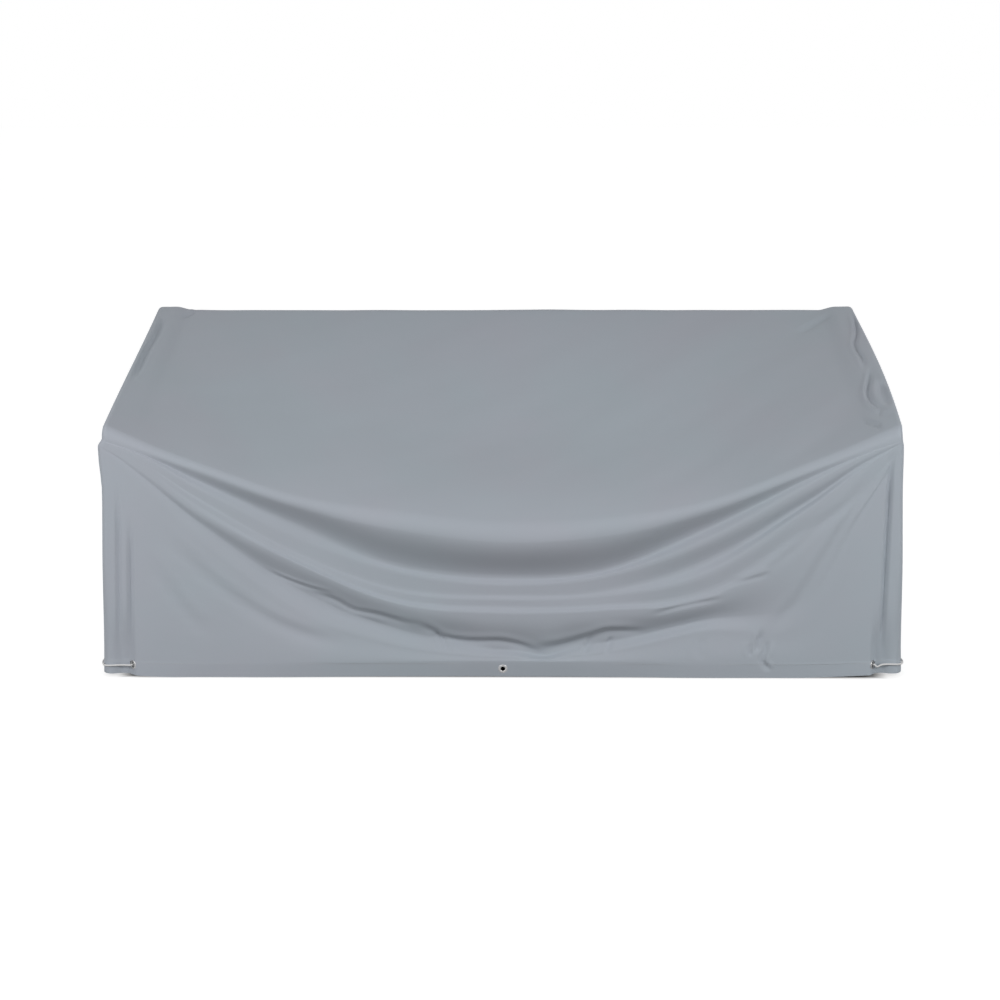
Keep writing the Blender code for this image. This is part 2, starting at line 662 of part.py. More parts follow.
def build():
    for obj in list(bpy.data.objects):
        bpy.data.objects.remove(obj, do_unlink=True)
    scene = bpy.context.scene.collection
    cover = bpy.data.collections.new("patio_furniture_cover")
    cutters = bpy.data.collections.new("cutters")
    scene.children.link(cover)
    scene.children.link(cutters)
    rail = bpy.data.objects.new("rail_frame", None)
    rail.location = -RAIL_PLACE
    cover.objects.link(rail)

    front_and_top(cover, rail)
    back_panel(cover, rail)
    hems = {"front": front_hem(cover, rail)}
    for side, name in ((-1, "left"), (1, "right")):
        side_panel(side, cover, rail)
        hems[name] = side_hem(side, cover, rail)
    places = eyelet_places()
    for name, (middle, out) in places.items():
        eyelet(name, middle, out, cover, rail)
        hem = hems["front"] if name.startswith("eyelet_front") else hems[name.rsplit("_", 1)[1]]
        punch(hem, name, middle, out, cutters, rail)
    for side in (-1, 1):
        tie(side, places, cover, rail)


build()
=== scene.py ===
"""How the patio furniture cover looks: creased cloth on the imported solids' folds, with sewn hems,
pressed eyelets and corded ties, on a white studio floor.

Sizes are in metres. Shapes are worked out over the floor, with X to the right, the front plane at
Y = 0 and the floor at Z = 0, and moved to the row frame when a piece is made.
"""

import math

import bmesh
import bpy
import numpy as np
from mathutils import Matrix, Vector


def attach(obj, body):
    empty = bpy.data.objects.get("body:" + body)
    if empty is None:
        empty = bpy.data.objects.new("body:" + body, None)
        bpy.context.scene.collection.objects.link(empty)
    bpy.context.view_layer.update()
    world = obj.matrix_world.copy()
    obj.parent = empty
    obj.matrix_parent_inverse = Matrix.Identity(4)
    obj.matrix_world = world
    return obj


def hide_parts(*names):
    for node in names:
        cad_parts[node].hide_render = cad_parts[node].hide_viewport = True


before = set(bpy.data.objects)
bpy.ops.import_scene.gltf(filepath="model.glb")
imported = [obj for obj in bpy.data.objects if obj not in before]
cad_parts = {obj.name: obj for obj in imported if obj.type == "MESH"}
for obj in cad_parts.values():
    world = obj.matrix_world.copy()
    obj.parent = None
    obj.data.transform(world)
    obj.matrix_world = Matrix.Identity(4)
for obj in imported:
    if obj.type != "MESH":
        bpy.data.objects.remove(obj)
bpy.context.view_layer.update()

# Driving sizes, as in the solids
WIDTH = 2.10
DEPTH = 0.90
BACK_HEIGHT = 0.888
CLOTH = 0.002
HEM_CLOTH = 0.003
HEM_PROUD = 0.0005
HEM_TOP = 0.0445
HALF = WIDTH / 2
RAIL_GAP = 0.0007

# How the cover widens towards the floor, narrows towards the top and is lifted at its front corners
FLARE = 0.025
FLARE_FROM = 0.69
TAPER = 0.0075
FLOOR_GAP = 0.002
CORNER_LIFT = {-1: 0.009, 1: 0.012}
LIFT_WIDTH = {-1: 0.2, 1: 0.3}
LIFT_DEPTH = 0.25
LIFT_HEIGHT = 0.12

# How the cloth stands out sideways at the arms: below the corner, and along the right slope
PUFF = {-1: 0.011, 1: 0.003}
BULGE = {-1: 0.0, 1: 0.011}
BULGE_FROM = 0.675
PUFF_INNER_X = 1.0
PUFF_DEPTH = 0.14
PUFF_TOP = 0.655
PUFF_FULL = 0.632
PUFF_END = 0.5

# Rounded edges over the sofa's arms and back
BACK_RADIUS = 0.04
BACK_DROP = 0.012
EDGE_RADIUS = 0.014
BACK_CORNER_PEAK = 0.01
BACK_CORNER_FROM = 0.945
BACK_CORNER_RISE = 0.05
CREST_ABOVE_CENTRE = 0.7
CREST_FADE = 0.4
TOP_SAG = 0.012

# Middle of the rail under the top, where the cover is carried
RAIL_PLACE = np.array((0.0, DEPTH - BACK_RADIUS, BACK_HEIGHT - CLOTH - RAIL_GAP))

# Where the fold lines are measured, from left to right
STATIONS = (-1.05, -0.93, -0.8, -0.535, -0.27, 0.0, 0.27, 0.535, 0.8, 0.93, 1.05)
CREST_RADIUS = (0.04, 0.034, 0.03, 0.029, 0.028, 0.028, 0.028, 0.029, 0.03, 0.034, 0.04)

# How late the cloth turns into a hollow at each station: 1 is evenly, more is later and sharper
EVEN = (2.6, 2.4, 1.6, 1.0, 1.0, 1.0, 1.0, 1.1, 1.8, 2.4, 2.6)
LATE = (2.6, 2.4, 1.8, 1.0, 1.3, 1.5, 1.4, 1.1, 1.8, 2.4, 2.6)
LATEST = (2.6, 2.4, 1.6, 1.0, 1.2, 1.6, 1.6, 1.5, 1.8, 2.4, 2.6)
STRAIGHT_BANK = 0.25

# Both sides of the cover, as in the names of the pieces
SIDES = ((-1, "left"), (1, "right"))

# Fold lines of the swags from top to bottom: name, how late the cloth turns into it, and height and
# stand-out at each station
FOLD_LINES = (
    ("crest", EVEN,
     (0.684, 0.632, 0.583, 0.488, 0.433, 0.402, 0.417, 0.475, 0.58, 0.632, 0.684),
     (0.0, 0.0, 0.001, 0.01, 0.03, 0.036, 0.03, 0.01, 0.002, 0.001, 0.0)),
    ("hollow_under_crest", LATE,
     (0.652, 0.607, 0.54, 0.413, 0.304, 0.274, 0.292, 0.404, 0.545, 0.607, 0.652),
     (0.0, -0.005, -0.014, -0.029, -0.026, -0.024, -0.026, -0.025, -0.008, -0.003, 0.0)),
    ("second_roll", EVEN,
     (0.65, 0.6, 0.52, 0.378, 0.289, 0.256, 0.281, 0.379, 0.527, 0.6, 0.65),
     (0.0, 0.0, -0.003, -0.02, -0.018, -0.014, -0.016, -0.006, 0.001, 0.0, 0.0)),
    ("second_hollow", EVEN,
     (0.648, 0.585, 0.497, 0.344, 0.247, 0.229, 0.24, 0.314, 0.479, 0.577, 0.648),
     (0.0, 0.0, -0.004, -0.019, -0.017, -0.014, -0.018, -0.025, -0.016, -0.006, 0.0)),
    ("third_roll", EVEN,
     (0.646, 0.58, 0.488, 0.332, 0.234, 0.217, 0.225, 0.288, 0.462, 0.56, 0.646),
     (0.0, 0.0, -0.002, -0.016, -0.012, -0.008, -0.012, -0.008, 0.0, 0.0, 0.0)),
    ("third_hollow", EVEN,
     (0.644, 0.575, 0.478, 0.324, 0.218, 0.198, 0.202, 0.237, 0.412, 0.5, 0.642),
     (0.0, 0.0, -0.002, -0.014, -0.011, -0.008, -0.011, -0.013, -0.006, -0.003, 0.0)),
    ("fourth_roll", EVEN,
     (0.642, 0.565, 0.463, 0.316, 0.207, 0.184, 0.191, 0.22, 0.38, 0.47, 0.64),
     (0.0, 0.0, 0.0, -0.006, -0.001, 0.002, -0.001, -0.005, -0.001, 0.0, 0.0)),
    ("lowest_hollow", LATEST,
     (0.64, 0.543, 0.43, 0.236, 0.126, 0.072, 0.093, 0.156, 0.218, 0.44, 0.63),
     (0.0, -0.003, -0.01, -0.036, -0.032, -0.029, -0.032, -0.028, -0.007, -0.003, 0.0)),
    ("skirt_roll", EVEN,
     (0.63, 0.51, 0.381, 0.181, 0.084, 0.055, 0.067, 0.129, 0.136, 0.38, 0.6),
     (0.0, -0.001, -0.004, -0.018, -0.016, -0.013, -0.015, -0.013, -0.004, 0.0, 0.0)),
    ("hem_seam", EVEN,
     (HEM_TOP,) * len(STATIONS),
     (0.0, 0.0, -0.002, -0.003, -0.008, -0.01, -0.008, -0.003, -0.002, 0.0, 0.0)),
)
HEM_FOOT = (0.0, 0.0, -0.004, -0.006, -0.013, -0.016, -0.013, -0.006, -0.004, 0.0, 0.0)
ROWS_BETWEEN_LINES = (9, 5, 5, 4, 4, 4, 26, 6, 16)

# Where a fold line leaves its smooth course: line, middle x, half width, rise
LOCAL_SHIFTS = (
    ("lowest_hollow", -0.13, 0.13, 0.006),
    ("lowest_hollow", 0.115, 0.09, -0.018),
    ("skirt_roll", 0.115, 0.09, -0.008),
)

# Drawn-in tucks beside the front corners, which carry the turned eyelets
HEM_RADIUS = {-1: 0.036, 1: 0.045}
TUCK_DEPTH = {
    -1: ((0.96, 0.0), (0.9795, 0.018), (0.998, 0.016), (1.036, 0.0)),
    1: ((0.9635, 0.0), (0.9785, 0.0215), (0.996, 0.02), (1.036, 0.0)),
}
STRAIGHT_BELOW = 0.05
ROUNDING_ENDS = 0.35
TUCK_ENDS = 0.2

# Upright creases beside the front corners: side, x at top and bottom, top, bottom, half width, depth
CORNER_CREASES = (
    (-1, 1.007, 1.004, 0.52, 0.05, 0.009, 0.008),
    (-1, 0.975, 0.973, 0.44, 0.05, 0.008, 0.011),
    (1, 1.02, 0.99, 0.645, 0.05, 0.01, 0.012),
)
CREASE_BEGINS = 0.25

# Creases in the front: half width at start and end, depth, height of the lip above the crease, and
# the places (x, z) that it runs through
FRONT_CREASES = (
    # left, from the arm's corner down to the right
    (0.01, 0.02, 0.005, 0.0025,
     ((-0.93, 0.43), (-0.8, 0.296), (-0.7, 0.212), (-0.6, 0.148), (-0.49, 0.105), (-0.39, 0.084))),
    (0.01, 0.016, 0.0045, 0.002, ((-0.95, 0.34), (-0.88, 0.24), (-0.83, 0.168), (-0.77, 0.12))),
    (0.005, 0.006, 0.003, 0.002, ((-0.63, 0.29), (-0.55, 0.256), (-0.487, 0.238), (-0.44, 0.232))),
    # right, a fan from the arm's corner
    (0.008, 0.014, 0.003, 0.002,
     ((1.0, 0.615), (0.917, 0.491), (0.85, 0.427), (0.76, 0.345), (0.69, 0.285))),
    (0.008, 0.018, 0.003, 0.0015,
     ((1.01, 0.6), (0.93, 0.47), (0.86, 0.35), (0.79, 0.22), (0.72, 0.13), (0.68, 0.07))),
    (0.006, 0.006, 0.003, 0.002, ((0.72, 0.292), (0.65, 0.273), (0.6, 0.262))),
    (0.007, 0.007, 0.003, 0.002, ((0.6, 0.222), (0.5, 0.205), (0.39, 0.174))),
    # small upright creases near the hem
    (0.006, 0.006, 0.006, 0.004, ((0.692, 0.135), (0.689, 0.115), (0.684, 0.095), (0.68, 0.07))),
    (0.006, 0.006, 0.007, 0.004,
     ((0.71, 0.11), (0.708, 0.085), (0.698, 0.055), (0.705, 0.04), (0.724, 0.018))),
    (0.005, 0.005, 0.0045, 0.003, ((0.665, 0.1), (0.662, 0.08), (0.664, 0.06))),
    (0.007, 0.007, 0.004, 0.0025, ((0.53, 0.115), (0.525, 0.08), (0.53, 0.05))),
    (0.006, 0.006, 0.0055, 0.0035, ((0.24, 0.112), (0.232, 0.085), (0.218, 0.062))),
    (0.006, 0.006, 0.005, 0.003, ((0.292, 0.112), (0.288, 0.09), (0.28, 0.062))),
    (0.006, 0.006, 0.006, 0.004, ((-0.178, 0.128), (-0.166, 0.105), (-0.15, 0.085), (-0.138, 0.068))),
    (0.006, 0.006, 0.003, 0.002, ((-0.19, 0.118), (-0.178, 0.095), (-0.165, 0.075))),
    # the crisp line where the lowest hollow folds over
    (0.011, 0.009, 0.0065, 0.003,
     ((-0.25, 0.16), (-0.19, 0.128), (-0.15, 0.104), (-0.085, 0.096), (-0.005, 0.098), (0.05, 0.086),
      (0.085, 0.072), (0.125, 0.054))),
    (0.008, 0.01, 0.0042, 0.0015,
     ((-0.53, 0.236), (-0.45, 0.212), (-0.4, 0.182), (-0.33, 0.17), (-0.26, 0.15), (-0.21, 0.146))),
    (0.009, 0.009, 0.0025, 0.0015, ((-0.47, 0.196), (-0.42, 0.166), (-0.36, 0.15), (-0.3, 0.132))),
    (0.014, 0.01, 0.006, 0.003,
     ((0.07, 0.082), (0.12, 0.079), (0.18, 0.091), (0.24, 0.11), (0.28, 0.125), (0.33, 0.126),
      (0.4, 0.121))),
)

# Creases in the top, as above, with places (x, y)
TOP_CREASES = (
    # right, beside the back corner and down the slope's edge
    (0.008, 0.012, 0.006, 0.003, ((0.985, 0.825), (0.934, 0.784), (0.894, 0.743), (0.85, 0.705))),
    (0.006, 0.007, 0.007, 0.0035,
     ((1.034, 0.84), (1.031, 0.74), (1.024, 0.66), (1.006, 0.573), (1.014, 0.47), (1.004, 0.39))),
    (0.006, 0.008, 0.007, 0.004,
     ((1.03, 0.42), (1.015, 0.35), (0.998, 0.27), (0.998, 0.21), (1.015, 0.15), (1.03, 0.11))),
    (0.012, 0.014, 0.008, 0.002, ((1.044, 0.33), (1.036, 0.26), (1.034, 0.2), (1.044, 0.15))),
    (0.005, 0.006, 0.005, 0.003, ((1.058, 0.37), (1.052, 0.31), (1.062, 0.24), (1.058, 0.19))),
    (0.006, 0.006, 0.006, 0.0035, ((0.998, 0.13), (1.022, 0.112), (1.052, 0.118))),
    (0.006, 0.006, 0.006, 0.0035, ((0.955, 0.13), (0.982, 0.082), (1.008, 0.04))),
    # left, beside the slope's edge and the back corner
    (0.008, 0.008, 0.0075, 0.003,
     ((-1.004, 0.83), (-1.012, 0.77), (-1.012, 0.65), (-1.02, 0.53), (-1.022, 0.4), (-1.026, 0.3))),
    (0.007, 0.007, 0.006, 0.003, ((-0.925, 0.87), (-0.935, 0.83), (-0.965, 0.79))),
)

# Share of a crease in which it runs out, and the half widths from it to its lip and to smooth cloth
CREASE_FADE = 0.25
LIP_AWAY = 1.6
CREASE_REACH = 4.0

# How far the creases run over the crest and the back edge, in shares of the turn, and how near the
# side seams the cloth is held flat
FRONT_RUNS_ON = 0.6
TOP_BEGINS = 0.5
TOP_RUNS_ON = 0.5
SEAM_FLAT = 0.012

# Slow unevenness of the stretched cloth: waves per metre across and along, phase, height
RIPPLES = (
    (0.9, 0.7, 0.4, 0.0016), (1.7, -0.9, 2.1, 0.0012), (-2.6, 1.9, 4.0, 0.0008),
    (3.9, 1.1, 1.2, 0.0006), (5.3, -3.1, 5.2, 0.0004), (-4.4, 5.7, 3.3, 0.0003),
)
FRONT_RIPPLES = 0.5
TOP_CROWDING = 1.7
RIPPLES_END_X = 1.03
RIPPLES_FADE = 0.12
RIPPLES_BEGIN_Y = 0.1

# Soft folds in the sides (middle y, half width, depth) and in the back (middle x, half width, depth)
SIDE_FOLDS = {
    -1: ((0.16, 0.1, 0.007), (0.42, 0.14, -0.006), (0.7, 0.12, 0.008)),
    1: ((0.2, 0.12, 0.009), (0.5, 0.13, -0.007), (0.76, 0.1, 0.006)),
}
BACK_FOLDS_BEGIN = 0.4
BACK_FOLDS_END_X = 0.85
BACK_FOLDS_FADE = 0.15
BACK_FOLDS = (
    (-0.78, 0.2, 0.01), (-0.45, 0.16, -0.006), (-0.08, 0.24, 0.012),
    (0.36, 0.18, -0.007), (0.71, 0.22, 0.011),
)

# How finely surfaces are drawn
ARC_ROWS = 14
SLOPE_ROWS = 52
BACK_ARC_ROWS = 10
MAIN_EDGE = 0.936
MAIN_COLUMNS = 216
COUNTS_PER_COLUMN = 40
FINER = 1.7
FINER_ZONES = ((-0.3, 0.4), (0.62, 0.74))
CORNER_STEPS = 30
TUCK_STEPS = (0.004, 0.008, 0.0105, 0.012)
BACK_COLUMNS = 120
BACK_ROWS = 60
HEM_ROWS = 8
HEM_LEVELS = np.linspace(0.0, HEM_TOP, HEM_ROWS + 1)
BACK_TOP = BACK_HEIGHT - BACK_RADIUS - BACK_DROP

# Seams: how far cloths dip where they are sewn together, how near a side hem's ends, and the height
# in which a hem comes out to its full thickness
SEAM_DIP = 0.001
HEM_END = 0.004
PROUD_RISE = 0.006


def mix(first, second, share):
    return first + (second - first) * share


def smooth(value):
    """0 below 0, 1 above 1, and an S curve between."""
    value = np.clip(value, 0.0, 1.0)
    return value * value * (3.0 - 2.0 * value)


def ramp(value, start, end):
    """An S curve from 0 at the start to 1 at the end."""
    return smooth((value - start) / (end - start))


def bump(away):
    """A soft round fold, 1 in its middle and 0 from its half width on."""
    return smooth(1.0 - np.abs(away))


def shares(values):
    """Where each value lies between the first and the last, from 0 to 1."""
    return (values - values[0]) / (values[-1] - values[0])


def through(stations, values, x):
    """A smooth curve through the values at the stations, for an array of x."""
    stations = np.asarray(stations, dtype=float)
    values = np.asarray(values, dtype=float)
    x = np.clip(x, stations[0], stations[-1])
    last = len(stations) - 1
    index = np.clip(np.searchsorted(stations, x, side="left") - 1, 0, last - 1)
    before = np.maximum(np.arange(last + 1) - 1, 0)
    after = np.minimum(np.arange(last + 1) + 1, last)
    slopes = (values[after] - values[before]) / (stations[after] - stations[before])
    span = stations[index + 1] - stations[index]
    t = (x - stations[index]) / span
    start, end = values[index], values[index + 1]
    rise, fall = slopes[index] * span, slopes[index + 1] * span
    return mix(start, end, smooth(t)) + t * (1.0 - t) * mix(rise, -fall, t)


def by_side(table, x):
    """The left or the right value of a table, for an array of x."""
    return np.where(x < 0, table[-1], table[1])


def puff(x, y, z):
    """How far the cloth stands out sideways below the arm's corner and above the arm."""
    side = np.where(x < 0, -1.0, 1.0)
    outer = ramp(np.abs(x), PUFF_INNER_X, HALF)
    near = outer * (1.0 - smooth(y / PUFF_DEPTH))
    upper = ramp(z, PUFF_TOP, PUFF_FULL)
    lower = ramp(z, PUFF_END, PUFF_FULL)
    share = np.clip((z - BULGE_FROM) / (BACK_HEIGHT - BULGE_FROM), 0.0, 1.0)
    bulge = by_side(BULGE, x) * outer * np.sin(math.pi * share)
    return side * (by_side(PUFF, x) * near * upper * lower + bulge)


def settle(x, y, z):
    """Widens the cover towards the floor and lifts its hem, most at the tied front corners."""
    drop = np.maximum(0.0, 1.0 - z / FLARE_FROM)
    rise = ramp(z, FLARE_FROM, BACK_HEIGHT)
    width = by_side(LIFT_WIDTH, x)
    near_side = smooth((np.abs(x) - HALF + width) / width)
    near_front = 1.0 - smooth(y / LIFT_DEPTH)
    low = np.maximum(0.0, 1.0 - z / LIFT_HEIGHT)
    wide = x * (1.0 + FLARE * drop - TAPER * rise) + puff(x, y, z)
    lift = FLOOR_GAP + by_side(CORNER_LIFT, x) * near_side * near_front
    return np.stack((wide, y, z + lift * low), axis=-1)


def lines_at(x):
    """Heights and stand-outs of every fold line, for an array of x."""
    names, _, *tables = zip(*FOLD_LINES)
    heights, proud = (np.array([through(STATIONS, row, x) for row in table]) for table in tables)
    for name, middle, half, rise in LOCAL_SHIFTS:
        heights[names.index(name)] += rise * bump((x - middle) / half)
    return heights, proud


def stand_out(x, heights, proud, z):
    """How far the front stands out of its plane at height z. Hollows are sharper than rolls."""
    out = np.where(z >= heights[0], proud[0], proud[-1])
    for i in range(len(heights) - 1):
        inside = (z < heights[i]) & (z >= heights[i + 1])
        share = np.clip((heights[i] - z) / np.maximum(heights[i] - heights[i + 1], 1e-6), 0.0, 1.0)
        share = mix(smooth(share), share, STRAIGHT_BANK)
        sharpness = through(STATIONS, FOLD_LINES[i + 1][1], x)
        into_hollow = proud[i + 1] < proud[i]
        share = np.where(into_hollow, share**sharpness, 1.0 - (1.0 - share) ** sharpness)
        out = np.where(inside, mix(proud[i], proud[i + 1], share), out)
    return out


def rounded(x, radius=EDGE_RADIUS):
    """How far a rounded edge at a side seam lies behind its plane."""
    reach = np.clip(np.abs(x) - HALF + radius, 0.0, radius)
    return radius - np.sqrt(radius * radius - reach * reach)


def corner_inset(x, z):
    """How far the upright corner lies behind the front plane, without its tucks."""
    low = 1.0 - ramp(z, STRAIGHT_BELOW, ROUNDING_ENDS)
    return rounded(x, mix(EDGE_RADIUS, by_side(HEM_RADIUS, x), low))


def corner_tucks(x, z):
    """Depth of the drawn-in tuck and of the upright creases beside a front corner."""
    fade = 1.0 - ramp(z, STRAIGHT_BELOW, TUCK_ENDS)
    tucks = {side: np.interp(side * x, *zip(*TUCK_DEPTH[side])) for side in TUCK_DEPTH}
    depth = fade * by_side(tucks, x)
    for side, top_x, low_x, top, bottom, half_width, deep in CORNER_CREASES:
        share = (top - z) / (top - bottom)
        away = (side * x - mix(top_x, low_x, np.clip(share, 0.0, 1.0))) / half_width
        reach = smooth(share / CREASE_BEGINS) * (1.0 - fade)
        depth = depth + deep * reach * bump(away)
    return depth


def soft_line(points, steps=8):
    """A smooth open line through the given places."""
    points = np.asarray(points, dtype=float)
    at = np.arange(len(points))
    fine = np.linspace(0, len(points) - 1, steps * (len(points) - 1) + 1)
    return np.stack([through(at, part, fine) for part in points.T], axis=-1)


def beside(line, u, v):
    """How far places lie above a line, with a sign, and how far along it, from 0 to 1."""
    steps = np.diff(line, axis=0)
    lengths = np.hypot(*steps.T)
    dx, dy = (steps / lengths[:, None]).T
    du, dv = u[:, None] - line[:-1, 0], v[:, None] - line[:-1, 1]
    t = np.clip(du * dx + dv * dy, 0.0, lengths)
    gap = np.hypot(du - t * dx, dv - t * dy)
    onward = 1.0 if line[-1][0] > line[0][0] else -1.0
    signed = gap * np.sign(dx * dv - dy * du) * onward
    reached = np.concatenate(((0.0,), np.cumsum(lengths)))
    nearest = (np.arange(len(u)), gap.argmin(axis=1))
    return signed[nearest], ((reached[:-1] + t) / reached[-1])[nearest]


def crease_relief(u, v, creases):
    """How far creases push the places (u, v) in or out."""
    relief = np.zeros_like(u)
    for start_width, end_width, depth, lip, points in creases:
        line = soft_line(points)
        margin = CREASE_REACH * max(start_width, end_width)
        low, high = line.min(axis=0) - margin, line.max(axis=0) + margin
        near = (u > low[0]) & (u < high[0]) & (v > low[1]) & (v < high[1])
        signed, along = beside(line, u[near], v[near])
        away = signed / mix(start_width, end_width, along)
        fade = smooth(along / CREASE_FADE) * smooth((1.0 - along) / CREASE_FADE)
        relief[near] += fade * (lip * np.exp(-((away - LIP_AWAY) ** 2)) - depth * np.exp(-(away**2)))
    return relief


def ripples(u, v):
    """Slow unevenness of the cloth, which ends at its sides."""
    edge = smooth((RIPPLES_END_X - np.abs(u)) / RIPPLES_FADE)
    return edge * sum(
        height * np.sin(2 * math.pi * (across * u + along * v) + phase)
        for across, along, phase, height in RIPPLES
    )


def profile(x):
    """Centres and radii of the front crest and the back edge, and the slope between them."""
    front_radius = through(STATIONS, CREST_RADIUS, x)
    crest = through(STATIONS, FOLD_LINES[0][2], x)
    peak = BACK_CORNER_PEAK * smooth((np.abs(x) - BACK_CORNER_FROM) / BACK_CORNER_RISE)
    front = (front_radius, crest - CREST_ABOVE_CENTRE * front_radius)
    back = (DEPTH - BACK_RADIUS, BACK_HEIGHT + peak - BACK_RADIUS)
    run = back[0] - front[0]
    rise = back[1] - front[1]
    slope = np.arctan2(rise, run) + np.arcsin((BACK_RADIUS - front_radius) / np.hypot(run, rise))
    return front, front_radius, back, slope


def on_arc(centre, radius, angle):
    """The place (y, z) on an arc, for an array of angles."""
    return np.array((centre[0] + radius * np.cos(angle), centre[1] + radius * np.sin(angle)))


def strip_rows():
    """Rows of the front and top panel from the hem seam up and over to the back: zone and place."""
    rows = []
    for span in range(len(ROWS_BETWEEN_LINES), 0, -1):
        steps = ROWS_BETWEEN_LINES[span - 1]
        rows += [("front", span - step / steps) for step in range(steps)]
    for zone, steps in (("crest", ARC_ROWS), ("slope", SLOPE_ROWS), ("back_edge", BACK_ARC_ROWS)):
        rows += [(zone, step / steps) for step in range(steps)]
    return rows + [("back_edge", 1.0), ("back", 1.0)]


def strip_row(x, zone, place):
    """One row of the front and top panel: y, z, the way out as an angle, and how far it stands out."""
    front, front_radius, back, slope = profile(x)
    heights, proud = lines_at(x)
    out = np.zeros_like(x)
    if zone == "front":
        knots = np.concatenate((front[1][None], heights[1:]))
        index = min(int(place), len(knots) - 2)
        z = mix(knots[index], knots[index + 1], place - index)
        out = stand_out(x, heights, proud, z) - corner_tucks(x, z) - corner_inset(x, z)
        return np.zeros_like(x), z, np.full_like(x, math.pi), out
    if zone == "back":
        return np.full_like(x, DEPTH), np.full_like(x, BACK_TOP), out, -rounded(x)
    if zone == "crest":
        angle = mix(math.pi, math.pi / 2 + slope, place)
        y, z = on_arc(front, front_radius, angle)
        out = stand_out(x, heights, proud, z)
    elif zone == "slope":
        angle = math.pi / 2 + slope
        y, z = mix(on_arc(front, front_radius, angle), on_arc(back, BACK_RADIUS, angle), place)
        out = proud[0] * (1.0 - smooth(place * DEPTH / CREST_FADE))
        out = out - TOP_SAG * (1.0 - (x / HALF) ** 2) * math.sin(math.pi * place) ** 2
    else:
        angle = mix(math.pi / 2 + slope, 0.0, place)
        y, z = on_arc(back, BACK_RADIUS, angle)
    return y, z, angle, out - rounded(x)


def seam_columns(inner):
    """Columns out to the seams on both sides: x, tuck onto the side, dip at the seam."""
    tucks = np.array(TUCK_STEPS)
    dips = SEAM_DIP * smooth(shares(tucks)) ** 2
    ends = np.full(len(tucks), HALF)
    x = np.concatenate((-ends, inner, ends))
    tuck, dip = (np.concatenate((end[::-1], np.zeros_like(inner), end)) for end in (tucks, dips))
    return x, tuck, dip


def strip_columns():
    """Columns of the front and top panel, left to right, closer together round the corners."""
    fine = np.linspace(-MAIN_EDGE, MAIN_EDGE, COUNTS_PER_COLUMN * MAIN_COLUMNS + 1)
    crowd = 1.0 + (FINER - 1.0) * sum((fine > low) & (fine < high) for low, high in FINER_ZONES)
    counted = np.cumsum(crowd) - crowd[0]
    main = np.interp(np.linspace(0.0, counted[-1], MAIN_COLUMNS + 1), counted, fine)
    share = np.linspace(0.0, 1.0, CORNER_STEPS + 1)[1:]
    corner = MAIN_EDGE + (HALF - MAIN_EDGE) * np.sin(share * math.pi / 2)
    return seam_columns(np.concatenate((-corner[::-1], main, corner)))


def inward(x, dip):
    """Moves places beside a seam inward by the dip."""
    return x - np.sign(x) * dip


def strip_grid(columns):
    """The whole front and top panel as a grid of points."""
    x, tuck, dip = columns
    rows = strip_rows()
    y, z, angle, out = (np.array(part) for part in zip(*[strip_row(x, *row) for row in rows]))
    wide = np.broadcast_to(x, y.shape)
    base = settle(wide, y + (out - tuck) * np.cos(angle), z + (out - tuck) * np.sin(angle))
    base[..., 0] = inward(base[..., 0], dip)
    front_share, top_share = np.array([relief_shares(*row) for row in rows]).T[..., None]
    relief = front_share * front_relief(base[..., 0], base[..., 2])
    relief = relief + top_share * top_relief(base[..., 0], base[..., 1])
    relief = relief * off_seam(wide)
    base[..., 1] += relief * np.cos(angle)
    base[..., 2] += relief * np.sin(angle)
    return base


def off_seam(x):
    """0 at the side seams, and 1 where creases have their full depth."""
    return smooth((HALF - np.abs(x)) / SEAM_FLAT)


def relief_shares(zone, place):
    """How much of the front's and of the top's creases a row has."""
    if zone == "front":
        return 1.0, 0.0
    if zone == "crest":
        return 1.0 - smooth(place / FRONT_RUNS_ON), ramp(place, TOP_BEGINS, 1.0)
    return 0.0, 1.0 if zone == "slope" else 1.0 - smooth(place / TOP_RUNS_ON)


def front_relief(x, z):
    """Creases and unevenness of the front."""
    return crease_relief(x, z, FRONT_CREASES) + FRONT_RIPPLES * ripples(x, z)


def top_relief(x, y):
    """Creases and unevenness of the top."""
    return crease_relief(x, y, TOP_CREASES) + ripples(x, TOP_CROWDING * y) * smooth(y / RIPPLES_BEGIN_Y)


def hem_proud(z):
    """How far a hem stands proud of the cloth above it."""
    return HEM_PROUD * smooth((HEM_TOP - z) / PROUD_RISE)


def hem_points(x, tuck, z, proud=HEM_PROUD):
    """Points of the outer face of the front hem at height z."""
    level = np.full_like(x, z)
    lean = mix(through(STATIONS, HEM_FOOT, x), through(STATIONS, FOLD_LINES[-1][3], x), z / HEM_TOP)
    out = lean - corner_tucks(x, level) - corner_inset(x, level) - tuck
    return settle(x, -out - proud, level)


def hem_grid(columns):
    """The front hem as a grid of points that meets the front panel's lower edge."""
    x, tuck, dip = columns
    grid = np.array([hem_points(x, tuck, z, hem_proud(z)) for z in HEM_LEVELS])
    grid[..., 0] = inward(grid[..., 0], dip)
    grid[..., 1] -= front_relief(grid[..., 0], grid[..., 2]) * off_seam(x)
    return grid


def back_points(x, tuck, z):
    """Points of the back panel at height z, which wraps round both back corners."""
    low = smooth((1.0 - z / BACK_TOP) / BACK_FOLDS_BEGIN)
    hang = low * (1.0 - smooth((np.abs(x) - BACK_FOLDS_END_X) / BACK_FOLDS_FADE))
    fold = sum(deep * bump((x - middle) / half) for middle, half, deep in BACK_FOLDS)
    return settle(x, DEPTH - rounded(x) - tuck + fold * hang, np.full_like(x, z))


